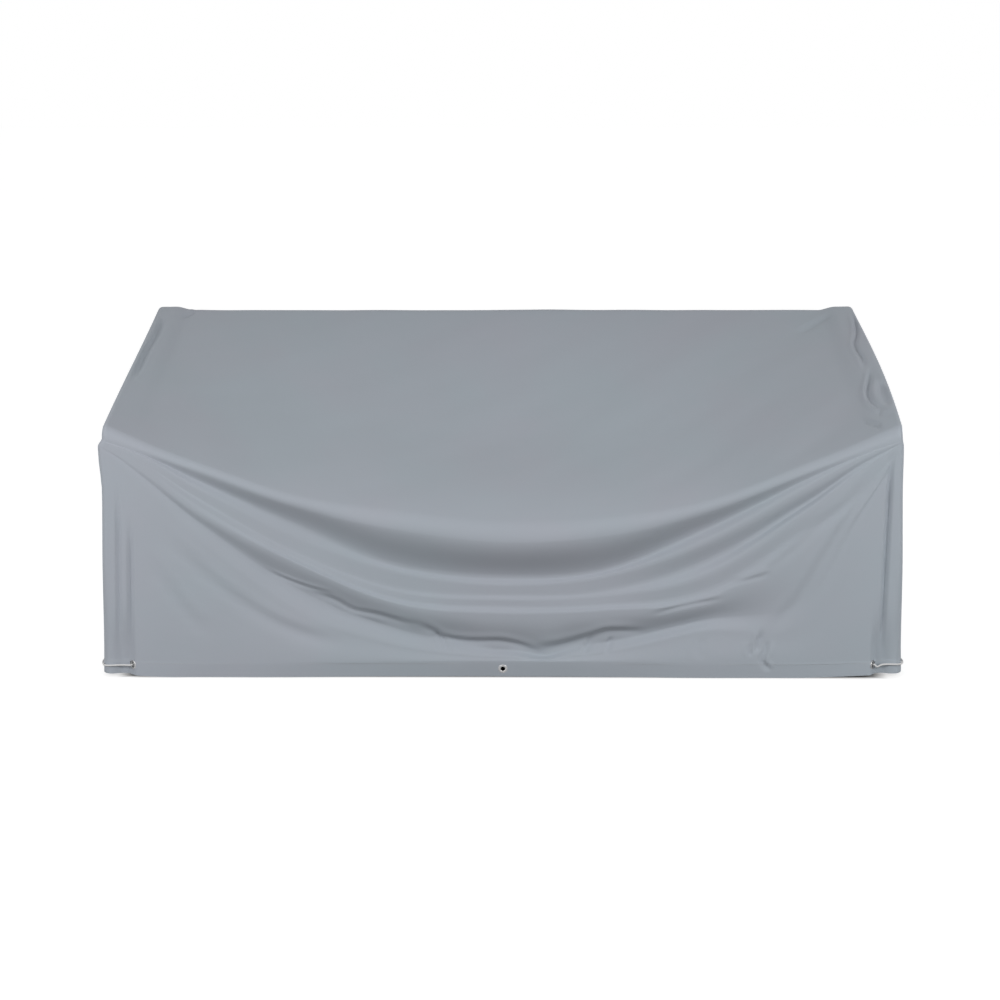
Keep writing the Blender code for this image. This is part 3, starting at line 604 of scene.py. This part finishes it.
def back_grid():
    """The back panel, from the floor up to the top panel; its columns run from right to left."""
    share = np.linspace(-1.0, 1.0, BACK_COLUMNS + 1)
    x, tuck, dip = seam_columns(HALF * np.sin(share * math.pi / 2))
    levels = np.concatenate((HEM_LEVELS, np.linspace(HEM_TOP, BACK_TOP, BACK_ROWS)[1:]))
    grid = np.array([back_points(x, tuck, z) for z in levels])
    grid[..., 0] = inward(grid[..., 0], dip)
    return grid[:, ::-1]


def points_at(line, places, wanted):
    """The points of a line at the wanted places, where places says how far along its own lie."""
    return np.stack([np.interp(wanted, places, part) for part in line.T], axis=-1)


def side_edges(strip, side):
    """The strip's edge on one side: up the front to the arm, back along the top, and up the rear."""
    edge = strip[:, -1 if side > 0 else 0]
    rows = strip_rows()
    arm = rows.index(("crest", 0.0)) + ARC_ROWS // 2
    rear = rows.index(("back_edge", 0.5))
    return edge[:arm + 1], edge[arm:rear + 1], edge[rear:-1][::-1]


def side_grid(side, strip, back, hem):
    """A cloth end that fills the space between the seams of the front, top and back."""
    front, top, rear = side_edges(strip, side)
    across, up = shares(top[:, 1]), shares(front[:, 2])
    rear = np.concatenate((back[HEM_ROWS:, 0 if side > 0 else -1], rear))
    rear = points_at(rear, shares(rear[:, 2]), up)
    u, v = across[None, :, None], up[:, None, None]
    grid = mix(hem[-1][None], top[None], v) + mix(front[:, None], rear[:, None], u)
    grid = grid - mix(mix(front[0], rear[0], u), mix(front[-1], rear[-1], u), v)
    envelope = np.sin(math.pi * up)[:, None] * np.sin(math.pi * across)
    folds = sum(deep * bump((across * DEPTH - middle) / half) for middle, half, deep in SIDE_FOLDS[side])
    grid[..., 0] += side * folds * envelope
    return grid


def side_hem_points(side, y, z, proud=HEM_PROUD):
    """Points on the outer face of a side hem."""
    return settle(side * (HALF + proud) + np.zeros_like(y), y, np.full_like(y, z))


def side_hem_grid(side, across, front_hem, back):
    """A side's turned strip, between the front hem and the back panel."""
    dip = bump(across / HEM_END) + bump((1.0 - across) / HEM_END)
    starts, ends = front_hem[:, -1 if side > 0 else 0, 1], back[:, 0 if side > 0 else -1, 1]
    rows = [(mix(*y, across), z) for *y, z in zip(starts, ends, HEM_LEVELS)]
    grid = np.array([side_hem_points(side, y, z, hem_proud(z)) for y, z in rows])
    grid[..., 0] -= side * SEAM_DIP * dip
    return grid


def added(name, data):
    """Puts a new object into the scene."""
    obj = bpy.data.objects.new(name, data)
    bpy.context.scene.collection.objects.link(obj)
    return obj


def new_mesh(name, points, faces, finish):
    """A smooth mesh with one finish."""
    mesh = bpy.data.meshes.new(name)
    mesh.from_pydata(points.tolist(), [], faces)
    mesh.shade_smooth()
    mesh.materials.append(finish)
    return mesh


def added_shape(name, shape):
    """Turns a bmesh into an object in the scene."""
    mesh = bpy.data.meshes.new(name)
    shape.to_mesh(mesh)
    shape.free()
    return added(name, mesh)


def dress(obj, nodes):
    """Ties a piece to the frame: hides the solids it stands for and hangs the piece on its body."""
    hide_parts(*nodes)
    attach(obj, "root")
    return obj


def unit(vectors):
    """Vectors of length 1 in the same directions."""
    return vectors / np.linalg.norm(vectors, axis=-1, keepdims=True)


def travelled(points, axis=0):
    """How far along the cloth each point of a line or grid lies."""
    steps = np.linalg.norm(np.diff(points, axis=axis), axis=-1)
    start = np.zeros_like(np.take(steps, [0], axis=axis))
    return np.concatenate((start, np.cumsum(steps, axis=axis)), axis=axis)


def cloth_sheet(name, grid, thickness, nodes):
    """A cloth piece from a grid of points of its outer face: outer face, inner face and rim."""
    rows, columns = grid.shape[:2]
    size = rows * columns
    normals = unit(np.cross(np.gradient(grid, axis=1), np.gradient(grid, axis=0)))
    inner = grid - normals * thickness
    points = np.concatenate((grid.reshape(-1, 3), inner.reshape(-1, 3))) - RAIL_PLACE
    index = np.arange(size).reshape(rows, columns)
    corners = (index[:-1, :-1], index[:-1, 1:], index[1:, 1:], index[1:, :-1])
    outer_faces = np.stack(corners, axis=-1).reshape(-1, 4)
    rim = np.concatenate((index[0, :], index[1:, -1], index[-1, -2::-1], index[-2:0:-1, 0]))
    following = np.roll(rim, -1)
    rim_faces = np.stack((rim, rim + size, following + size, following), axis=1)
    faces = np.concatenate((outer_faces, outer_faces[:, ::-1] + size, rim_faces))
    mesh = new_mesh(name, points, faces.tolist(), CLOTH_FINISH)
    map_cloth(mesh, grid)
    edges = np.empty(len(mesh.edges) * 2, dtype=np.int32)
    mesh.edges.foreach_get("vertices", edges)
    edges = edges.reshape(-1, 2)
    same_face = (edges[:, 0] < size) == (edges[:, 1] < size)
    sharp = mesh.attributes.get("sharp_edge") or mesh.attributes.new("sharp_edge", "BOOLEAN", "EDGE")
    sharp.data.foreach_set("value", np.isin(edges % size, rim).all(axis=1) & same_face)
    return dress(added(name, mesh), nodes)


def map_cloth(mesh, grid):
    """Gives both faces of a sheet a map in metres along the cloth, from its middle column."""
    across = travelled(grid, 1)
    across = across - across[:, grid.shape[1] // 2][:, None]
    places = np.stack((across.ravel(), travelled(grid, 0).ravel()), axis=1)
    corners = np.empty(len(mesh.loops), dtype=np.int32)
    mesh.loops.foreach_get("vertex_index", corners)
    layer = mesh.uv_layers.new(name="cloth")
    layer.data.foreach_set("uv", places[corners % len(places)].ravel())


# Eyelets, measured from the middle of the cloth along their own axis
EYELET_BORE = 0.006
EYELET_BARREL = 0.0069
EYELET_FLANGE = 0.0125
EYELET_BACK_FLANGE = 0.0115
EYELET_SEAT = 0.0017
EYELET_RISE = 0.0013
EYELET_HOLE = 0.0072
EYELET_STEPS = 48
EYELET_HEIGHT = 0.0295
CENTRE_EYELET_X = 0.003
CENTRE_EYELET_HEIGHT = 0.0225
SIDE_EYELET_Y = 0.15
DOME_STEPS = 10
DRILL_LENGTH = 0.012
SHARP_DEGREES = 50


def hem_place(x, z):
    """One point of the front hem's outer face."""
    return hem_points(np.array([x]), np.zeros(1), z)[0]


def side_hem_place(side, z):
    """The point of a side hem's outer face beside its eyelet, at height z."""
    return side_hem_points(side, np.array([SIDE_EYELET_Y]), z)[0]


def seated(face, along, up):
    """Middle of the cloth behind a point of a hem's outer face, and the way out there."""
    out = unit(np.cross(along, up))
    return face - out * HEM_CLOTH / 2, out


def eyelet_places():
    """Middle of the cloth and outward direction of every eyelet."""
    places = {}
    for side, name in SIDES:
        near, far = [side * x for x, _ in TUCK_DEPTH[side][:2]]
        first, second = hem_place(near, EYELET_HEIGHT), hem_place(far, EYELET_HEIGHT)
        up = hem_place(near, HEM_TOP) - first
        places["eyelet_front_" + name] = seated((first + second) / 2, (second - first) * side, up)
    middle = hem_place(CENTRE_EYELET_X, CENTRE_EYELET_HEIGHT)
    up = hem_place(CENTRE_EYELET_X, HEM_TOP) - middle
    places["eyelet_front_centre"] = seated(middle, (1.0, 0.0, 0.0), up)
    for side, name in SIDES:
        middle = side_hem_place(side, EYELET_HEIGHT)
        up = side_hem_place(side, HEM_TOP) - middle
        places["eyelet_side_" + name] = seated(middle, (0.0, side, 0.0), up)
    return places


def turned_to(obj, middle, out):
    """Places an object with its own Z along the outward direction."""
    obj.rotation_euler = Vector(out).to_track_quat("Z", "Y").to_euler()
    obj.location = Vector(middle - RAIL_PLACE)


def dome(inner, outer, seat, rise):
    """The rounded face of a flange, from its bore to its edge."""
    middle, half = (inner + outer) / 2, (outer - inner) / 2
    turns = [math.pi * (1.0 - step / DOME_STEPS) for step in range(DOME_STEPS + 1)]
    return [(middle + half * math.cos(turn), seat + rise * math.sin(turn)) for turn in turns]


def eyelet(name, middle, out):
    """A pressed ring: a barrel through the cloth with a rounded flange on each face."""
    front = dome(EYELET_BORE, EYELET_FLANGE, EYELET_SEAT, EYELET_RISE)
    back = dome(EYELET_BORE, EYELET_BACK_FLANGE, -EYELET_SEAT, -EYELET_RISE)
    outline = front + [(EYELET_BARREL, EYELET_SEAT), (EYELET_BARREL, -EYELET_SEAT)] + back[::-1]
    ring = bmesh.new()
    loops = []
    for step in range(EYELET_STEPS):
        turn = 2 * math.pi * step / EYELET_STEPS
        loops.append([ring.verts.new((r * math.cos(turn), r * math.sin(turn), h)) for r, h in outline])
    for first, second in zip(loops, loops[1:] + loops[:1]):
        for i in range(len(outline)):
            j = (i + 1) % len(outline)
            ring.faces.new((first[i], first[j], second[j], second[i]))
    bmesh.ops.recalc_face_normals(ring, faces=ring.faces)
    for face in ring.faces:
        face.smooth = True
    for edge in ring.edges:
        edge.smooth = edge.calc_face_angle(0.0) < math.radians(SHARP_DEGREES)
    obj = added_shape("metal_" + name, ring)
    obj.data.materials.append(METAL_FINISH)
    turned_to(obj, middle, out)
    dress(obj, [name])


def punch(hem, middle, out):
    """Cuts the hole of one eyelet in its hem."""
    drill = bmesh.new()
    bmesh.ops.create_cone(
        drill, cap_ends=True, segments=EYELET_STEPS, radius1=EYELET_HOLE, radius2=EYELET_HOLE,
        depth=DRILL_LENGTH
    )
    cutter = added_shape("hole", drill)
    turned_to(cutter, middle, out)
    cut = hem.modifiers.new("hole", "BOOLEAN")
    cut.operation = "DIFFERENCE"
    cut.solver = "EXACT"
    cut.object = cutter
    bpy.context.view_layer.update()
    done = bpy.data.meshes.new_from_object(hem.evaluated_get(bpy.context.evaluated_depsgraph_get()))
    hem.modifiers.clear()
    hem.data = done
    bpy.data.objects.remove(cutter)


# Ties: the knot's widths in cord widths, from its end, and how far the cord runs straight out of the
# front eyelet and into the side eyelet
TIE_RADIUS = 0.0026
KNOT_WIDTHS = (1.4, 2.7, 1.1)
KNOT_BEHIND = 0.0107
KNOT_HALF = 0.0065
TIE_SIDES = 16
TIE_STEPS = 6
TIE_LEAVES = (0.001, 0.007)
TIE_ENTERS = (0.0065, -0.001)
TIE_ROUND_CORNER = {
    -1: ((-1.0025, 0.0015, 0.0353), (-1.015, 0.0018, 0.0357), (-1.028, 0.0022, 0.0355),
         (-1.0405, 0.0018, 0.035), (-1.052, 0.0016, 0.0346), (-1.0626, 0.0029, 0.0343),
         (-1.0715, 0.011, 0.0342), (-1.0764, 0.0245, 0.0343), (-1.0794, 0.038, 0.0346),
         (-1.0793, 0.06, 0.035), (-1.0793, 0.095, 0.0354), (-1.08, 0.138, 0.0358)),
    1: ((1.006, 0.0058, 0.034), (1.018, 0.0052, 0.0395), (1.03, 0.005, 0.0408),
        (1.0415, 0.0052, 0.0408), (1.0525, 0.0056, 0.0405), (1.063, 0.0078, 0.04),
        (1.072, 0.0175, 0.0395), (1.077, 0.031, 0.039), (1.0795, 0.046, 0.0384),
        (1.0793, 0.066, 0.0377), (1.0793, 0.098, 0.037), (1.08, 0.1385, 0.0362)),
}


def round_faces(index):
    """The faces of closed round tubes, from the numbers of their points by tube, ring and turn."""
    after = np.roll(index, -1, axis=2)
    walls = np.stack((index[:, :-1], after[:, :-1], after[:, 1:], index[:, 1:]), axis=-1)
    return walls.reshape(-1, 4).tolist() + index[:, 0, ::-1].tolist() + index[:, -1].tolist()


def tube(name, route, radii):
    """A closed round cord along a route."""
    across = np.cross(route[1] - route[0], (0.0, 0.0, 1.0))
    turns = np.linspace(0.0, 2 * math.pi, TIE_SIDES, endpoint=False)[:, None]
    rings = []
    for place, ahead, radius in zip(route, unit(np.gradient(route, axis=0)), radii):
        across = unit(across - ahead * np.dot(across, ahead))
        other = np.cross(ahead, across)
        rings.append(place + radius * (np.cos(turns) * across + np.sin(turns) * other))
    points = np.concatenate(rings) - RAIL_PLACE
    faces = round_faces(np.arange(len(points)).reshape(1, -1, TIE_SIDES))
    return added(name, new_mesh(name, points, faces, CORD_FINISH))


def tie(side, name, places):
    """A short cord: a knot inside the front hem, out of its eyelet, round the corner and in again."""
    node = "tie_cord_" + name
    start, start_out = places["eyelet_front_" + name]
    end, end_out = places["eyelet_side_" + name]
    knot = (-KNOT_BEHIND - KNOT_HALF, -KNOT_BEHIND, -KNOT_BEHIND + KNOT_HALF)
    route = [start + start_out * along for along in knot + TIE_LEAVES]
    route += [np.array(place) for place in TIE_ROUND_CORNER[side]]
    route += [end + end_out * along for along in TIE_ENTERS + knot[::-1]]
    plain = (1.0,) * (len(route) - 2 * len(KNOT_WIDTHS))
    widths = np.array(KNOT_WIDTHS + plain + KNOT_WIDTHS[::-1])
    fine = soft_line(np.column_stack((route, widths)), TIE_STEPS)
    dress(tube("cord_" + node, fine[:, :3], fine[:, 3] * TIE_RADIUS), [node])


# Stitches: distance from one to the next, length, radius, and how far from the edge the row runs
STITCH_PITCH = 0.0036
STITCH_LENGTH = 0.003
STITCH_RADIUS = 0.00035
STITCH_INSET = 0.006
STITCH_SIDES = 5
SIDE_STITCH_STEPS = 80
STITCH_AHEAD = 0.0001
# Along a stitch: share of its length, share of its radius, and height over the cloth in radii
STITCH_RINGS = ((0.0, 0.4, -0.6), (0.2, 1.0, 0.4), (0.8, 1.0, 0.4), (1.0, 0.4, -0.6))


def stitches(name, line, outs, nodes):
    """A row of stitches along a line on the cloth; outs are the ways out of the cloth there."""
    lengths = travelled(line)
    starts = np.arange(STITCH_PITCH, lengths[-1] - STITCH_PITCH, STITCH_PITCH)
    turns = np.linspace(0.0, 2 * math.pi, STITCH_SIDES, endpoint=False)[None, :, None]
    rings = []
    for share, size, lift in STITCH_RINGS:
        at = starts + share * STITCH_LENGTH
        place = points_at(line, lengths, at)
        ahead = unit(points_at(line, lengths, at + STITCH_AHEAD) - place)
        out = points_at(outs, lengths, at)
        out = unit(out - ahead * np.sum(out * ahead, axis=1, keepdims=True))
        across = np.cross(ahead, out)
        middle = place + out * lift * STITCH_RADIUS
        spokes = np.cos(turns) * out[:, None] + np.sin(turns) * across[:, None]
        rings.append(middle[:, None] + spokes * size * STITCH_RADIUS)
    points = np.stack(rings, axis=1).reshape(-1, 3) - RAIL_PLACE
    faces = round_faces(np.arange(len(points)).reshape(-1, len(STITCH_RINGS), STITCH_SIDES))
    dress(added(name, new_mesh(name, points, faces, THREAD_FINISH)), nodes)


def hem_stitches(columns, front_hem, back):
    """The row of stitches along the upper edge of every hem."""
    level = HEM_TOP - STITCH_INSET
    x, tuck, _ = columns
    line = hem_points(x, tuck, level)
    up = hem_points(x, tuck, HEM_TOP) - line
    stitches("stitches_front", line, np.cross(np.gradient(line, axis=0), up), ["hem_front"])
    nearest, farthest = front_hem[..., 1].max(), back[..., 1].min()
    y = np.linspace(nearest + STITCH_INSET, farthest - STITCH_INSET, SIDE_STITCH_STEPS)
    for side, name in SIDES:
        line = side_hem_points(side, y, level)
        stitches("stitches_" + name, line, np.tile((float(side), 0.0, 0.0), (len(y), 1)), ["hem_" + name])


def connect(tree, node, sockets):
    """Gives a node's sockets their values, or links them to other nodes' outputs."""
    for socket, value in sockets.items():
        if isinstance(value, bpy.types.NodeSocket):
            tree.links.new(value, node.inputs[socket])
        else:
            node.inputs[socket].default_value = value


def made(tree, kind, output, sockets=None, **settings):
    """One output of a new shader node."""
    node = tree.nodes.new("ShaderNode" + kind)
    for name, value in settings.items():
        setattr(node, name, value)
    connect(tree, node, sockets or {})
    return node.outputs[output]


def paired(tree, operation, first, second):
    """A sum, product or the like of two values."""
    return made(tree, "Math", "Value", {0: first, 1: second}, operation=operation)


def noise(tree, scale, detail):
    """A noise in metres that stays with the object."""
    place = made(tree, "TexCoord", "Object")
    return made(tree, "TexNoise", "Fac", {"Vector": place, "Scale": scale, "Detail": detail})


def ranged(tree, value, old, new):
    """A value spread from its old range, lowest and highest, over a new one."""
    limits = zip(("From Min", "From Max", "To Min", "To Max"), old + new)
    return made(tree, "MapRange", "Result", {"Value": value, **dict(limits)})


def raised(tree, height, strength, distance, below=None):
    """A bump, on top of another one if given."""
    sockets = {"Height": height, "Strength": strength, "Distance": distance}
    if below is not None:
        sockets["Normal"] = below
    return made(tree, "Bump", "Normal", sockets)


def grey(tree, value):
    """A colour with the same value in all its channels."""
    return made(tree, "CombineColor", "Color", dict.fromkeys(("Red", "Green", "Blue"), value))


def weave(tree, scale):
    """Threads that cross, in the sheet's own measures."""
    cloth_map = made(tree, "UVMap", "UV", uv_map="cloth")
    sockets = {"Vector": cloth_map, "Scale": scale, "Distortion": 0.6, "Detail": 1.0}
    bands = [made(tree, "TexWave", "Fac", sockets, bands_direction=direction) for direction in "XY"]
    return paired(tree, "MULTIPLY", *bands)


def new_finish(name):
    """A material, its node tree and its shader."""
    finish = bpy.data.materials.new(name)
    finish.use_nodes = True
    return finish, finish.node_tree, finish.node_tree.nodes["Principled BSDF"]


CLOTH_TONES = ((0.335, 0.375, 0.415, 1.0), (0.345, 0.368, 0.412, 1.0))


def cloth_finish():
    """Coated plain weave: fine threads, faint mottling and a soft dull sheen."""
    finish, tree, shader = new_finish("cover_cloth")
    slow = ranged(tree, noise(tree, scale=2.6, detail=3.0), (0.35, 0.65), (0.0, 1.0))
    tones = {"Factor": slow, "A": CLOTH_TONES[0], "B": CLOTH_TONES[1]}
    threads = raised(tree, weave(tree, scale=300.0), strength=0.12, distance=0.0002)
    rub = noise(tree, scale=42.0, detail=4.0)
    connect(tree, shader, {
        "Base Color": made(tree, "Mix", "Result", tones, data_type="RGBA"),
        "Roughness": 0.78,
        "Sheen Weight": 0.1,
        "Sheen Roughness": 0.5,
        "Specular IOR Level": 0.25,
        "Normal": raised(tree, rub, strength=0.15, distance=0.002, below=threads),
    })
    return finish


def thread_finish():
    """Sewing thread, in the cloth's colour."""
    finish, tree, shader = new_finish("seam_thread")
    twist = ranged(tree, noise(tree, scale=900.0, detail=2.0), (0.3, 0.7), (0.3, 0.4))
    connect(tree, shader, {"Base Color": grey(tree, twist), "Roughness": 0.6})
    return finish


def metal_finish():
    """Pressed steel, softly polished and a little dulled."""
    finish, tree, shader = new_finish("eyelet_metal")
    dull = noise(tree, scale=260.0, detail=3.0)
    connect(tree, shader, {
        "Base Color": grey(tree, ranged(tree, dull, (0.3, 0.7), (0.3, 0.4))),
        "Metallic": 1.0,
        "Roughness": ranged(tree, dull, (0.3, 0.7), (0.24, 0.42)),
    })
    return finish


def cord_finish():
    """Pale round cord with a fine braid."""
    finish, tree, shader = new_finish("tie_cord")
    place = made(tree, "TexCoord", "Object")
    braid = made(tree, "TexVoronoi", "Distance", {"Vector": place, "Scale": 900.0})
    connect(tree, shader, {
        "Base Color": grey(tree, ranged(tree, braid, (0.0, 1.0), (0.52, 0.62))),
        "Roughness": 0.75,
        "Normal": raised(tree, braid, strength=0.5, distance=0.0004),
    })
    return finish


CLOTH_FINISH = cloth_finish()
THREAD_FINISH = thread_finish()
METAL_FINISH = metal_finish()
CORD_FINISH = cord_finish()

# Floor and light
WHITE = (1.0, 1.0, 1.0, 1.0)
FLOOR_HALF = 40.0
FLOOR_TONE = (0.5, 0.5, 0.5, 1.0)
FLOOR_GLOW = 0.785
# Glow of the floor in the painted shadow close round the cover
FLOOR_GLOW_IN_PAINTED_SHADOW = 0.69
# Where the floor's glow changes, in shares of the way from the cover's middle to its edge: no glow inside
# the cover, as painted shade, and a little less glow close round it, as a painted shadow
FLOOR_PAINTED_SHADE_INSIDE = (0.95, 0.99)
FLOOR_PAINTED_SHADOW_SPAN = (1.0, 1.18)
# Suns: name, height above the horizon, turn to the right and spread in degrees, strength
SUNS = (
    ("soft_overhead", 90.0, 0.0, 180.0, 1.33),
    ("soft_right", 20.0, 70.0, 40.0, 0.14),
)
# Panels: name, place over the floor, aim, side, power
PANELS = (
    ("left_panel", (-2.4, -2.4, 1.3), (-0.8, 0.0, 0.35), 1.4, 61.0),
    ("right_panel", (2.4, -2.4, 1.3), (0.8, 0.0, 0.35), 1.4, 57.0),
)

# Camera, fitted to the photograph: place over the floor, focal length in pixels of the frame's width,
# and tilt down, roll and pan in degrees
FRAME_PIXELS = 1000.0
CAMERA_PLACE = (0.07, -5.331, 1.646)
CAMERA_FOCAL = 2070.0
CAMERA_TILT = 12.223
CAMERA_ROLL = 0.12
CAMERA_PAN = 0.764


def floor_glow_with_painted_shadow(tree):
    """Full glow away from the cover, a little less close to it as a painted shadow, and none inside it as
    painted shade.
    """
    half = (HALF, DEPTH / 2, 1.0)
    middle = (0.0, DEPTH / 2 - RAIL_PLACE[1], 0.0)
    spread = made(tree, "Mapping", "Vector", {
        "Vector": made(tree, "TexCoord", "Object"),
        "Scale": [1.0 / size for size in half],
        "Location": [-at / size for at, size in zip(middle, half)],
    })
    away = made(tree, "VectorMath", "Vector", {0: spread}, operation="ABSOLUTE")
    x, y = (made(tree, "SeparateXYZ", axis, {"Vector": away}) for axis in "XY")
    farthest = paired(tree, "MAXIMUM", x, y)
    # Painted shade: no glow inside the cover; painted shadow: a little less glow close round it
    near = ranged(tree, farthest, FLOOR_PAINTED_SHADE_INSIDE, (0.0, FLOOR_GLOW_IN_PAINTED_SHADOW))
    glow_out_of_painted_shadow = ranged(tree, farthest, FLOOR_PAINTED_SHADOW_SPAN, (0.0, FLOOR_GLOW - FLOOR_GLOW_IN_PAINTED_SHADOW))
    return paired(tree, "ADD", near, glow_out_of_painted_shadow)


def add_floor():
    """A wide white floor, dark only inside the cover, where its shade is painted, with a faint painted
    shadow round the cover.
    """
    paint, tree, shader = new_finish("studio_floor")
    connect(tree, shader, {
        "Base Color": FLOOR_TONE,
        "Roughness": 0.9,
        "Specular IOR Level": 0.0,
        "Emission Color": WHITE,
        "Emission Strength": floor_glow_with_painted_shadow(tree),
    })
    level = -RAIL_PLACE[2] / FLOOR_HALF
    corners = np.array(((-1, -1, level), (1, -1, level), (1, 1, level), (-1, 1, level))) * FLOOR_HALF
    floor = added("floor", new_mesh("floor", corners, [(0, 1, 2, 3)], paint))
    floor.visible_diffuse = False


def hang_light(name, lamp, place, aim):
    """Puts a light at a place over the floor, turned to its aim."""
    obj = added(name, lamp)
    obj.location = place - Vector(RAIL_PLACE)
    obj.rotation_euler = (aim - place).to_track_quat("-Z", "Y").to_euler()


def studio():
    """A white floor and surround, lit by soft suns and panels."""
    scene = bpy.context.scene
    scene.view_settings.view_transform = "Standard"
    scene.world = bpy.data.worlds.new("surround")
    scene.world.use_nodes = True
    scene.world.node_tree.nodes["Background"].inputs["Color"].default_value = WHITE
    scene.world.cycles_visibility.diffuse = False
    add_floor()
    for name, rise, turn, spread, strength in SUNS:
        sun = bpy.data.lights.new(name, "SUN")
        sun.angle = math.radians(spread)
        sun.energy = strength
        rise, turn = math.radians(rise), math.radians(turn)
        level = math.cos(rise)
        place = Vector((math.sin(turn) * level, -math.cos(turn) * level, math.sin(rise)))
        hang_light(name, sun, place, Vector())
    for name, place, aim, side, power in PANELS:
        panel = bpy.data.lights.new(name, "AREA")
        panel.size = side
        panel.energy = power
        hang_light(name, panel, Vector(place), Vector(aim))


def camera():
    """The photograph's camera."""
    data = bpy.data.cameras.new("camera")
    data.sensor_width = 36.0
    data.lens = CAMERA_FOCAL * data.sensor_width / FRAME_PIXELS
    obj = added("camera", data)
    obj.location = Vector(CAMERA_PLACE) - Vector(RAIL_PLACE)
    obj.rotation_euler = [math.radians(turn) for turn in (90.0 - CAMERA_TILT, CAMERA_ROLL, CAMERA_PAN)]
    bpy.context.scene.camera = obj


def cover():
    """Every cloth piece, eyelet, tie and row of stitches."""
    columns = strip_columns()
    strip = strip_grid(columns)
    front_hem = hem_grid(columns)
    back = back_grid()
    top_piece = cloth_sheet("cloth_front_top", strip, CLOTH, ["panel_front_top"])
    hem_piece = cloth_sheet("cloth_hem_front", front_hem, HEM_CLOTH, ["hem_front"])
    back_piece = cloth_sheet("cloth_back", back, CLOTH, ["panel_back"])
    hems = {"front": hem_piece}
    for side, name in SIDES:
        across = shares(side_edges(strip, side)[1][:, 1])
        hem = side_hem_grid(side, across, front_hem, back)
        grid = side_grid(side, strip, back, hem)
        order = slice(None, None, side)
        piece = cloth_sheet("cloth_side_" + name, grid[:, order], CLOTH, ["side_" + name])
        piece = cloth_sheet("cloth_hem_" + name, hem[:, order], HEM_CLOTH, ["hem_" + name])
        hems[name] = piece
    places = eyelet_places()
    for name, (middle, out) in places.items():
        eyelet(name, middle, out)
        punch(hems["front" if name.startswith("eyelet_front") else name.rsplit("_", 1)[1]], middle, out)
    for side, name in SIDES:
        tie(side, name, places)
    hem_stitches(columns, front_hem, back)


cover()
studio()
camera()
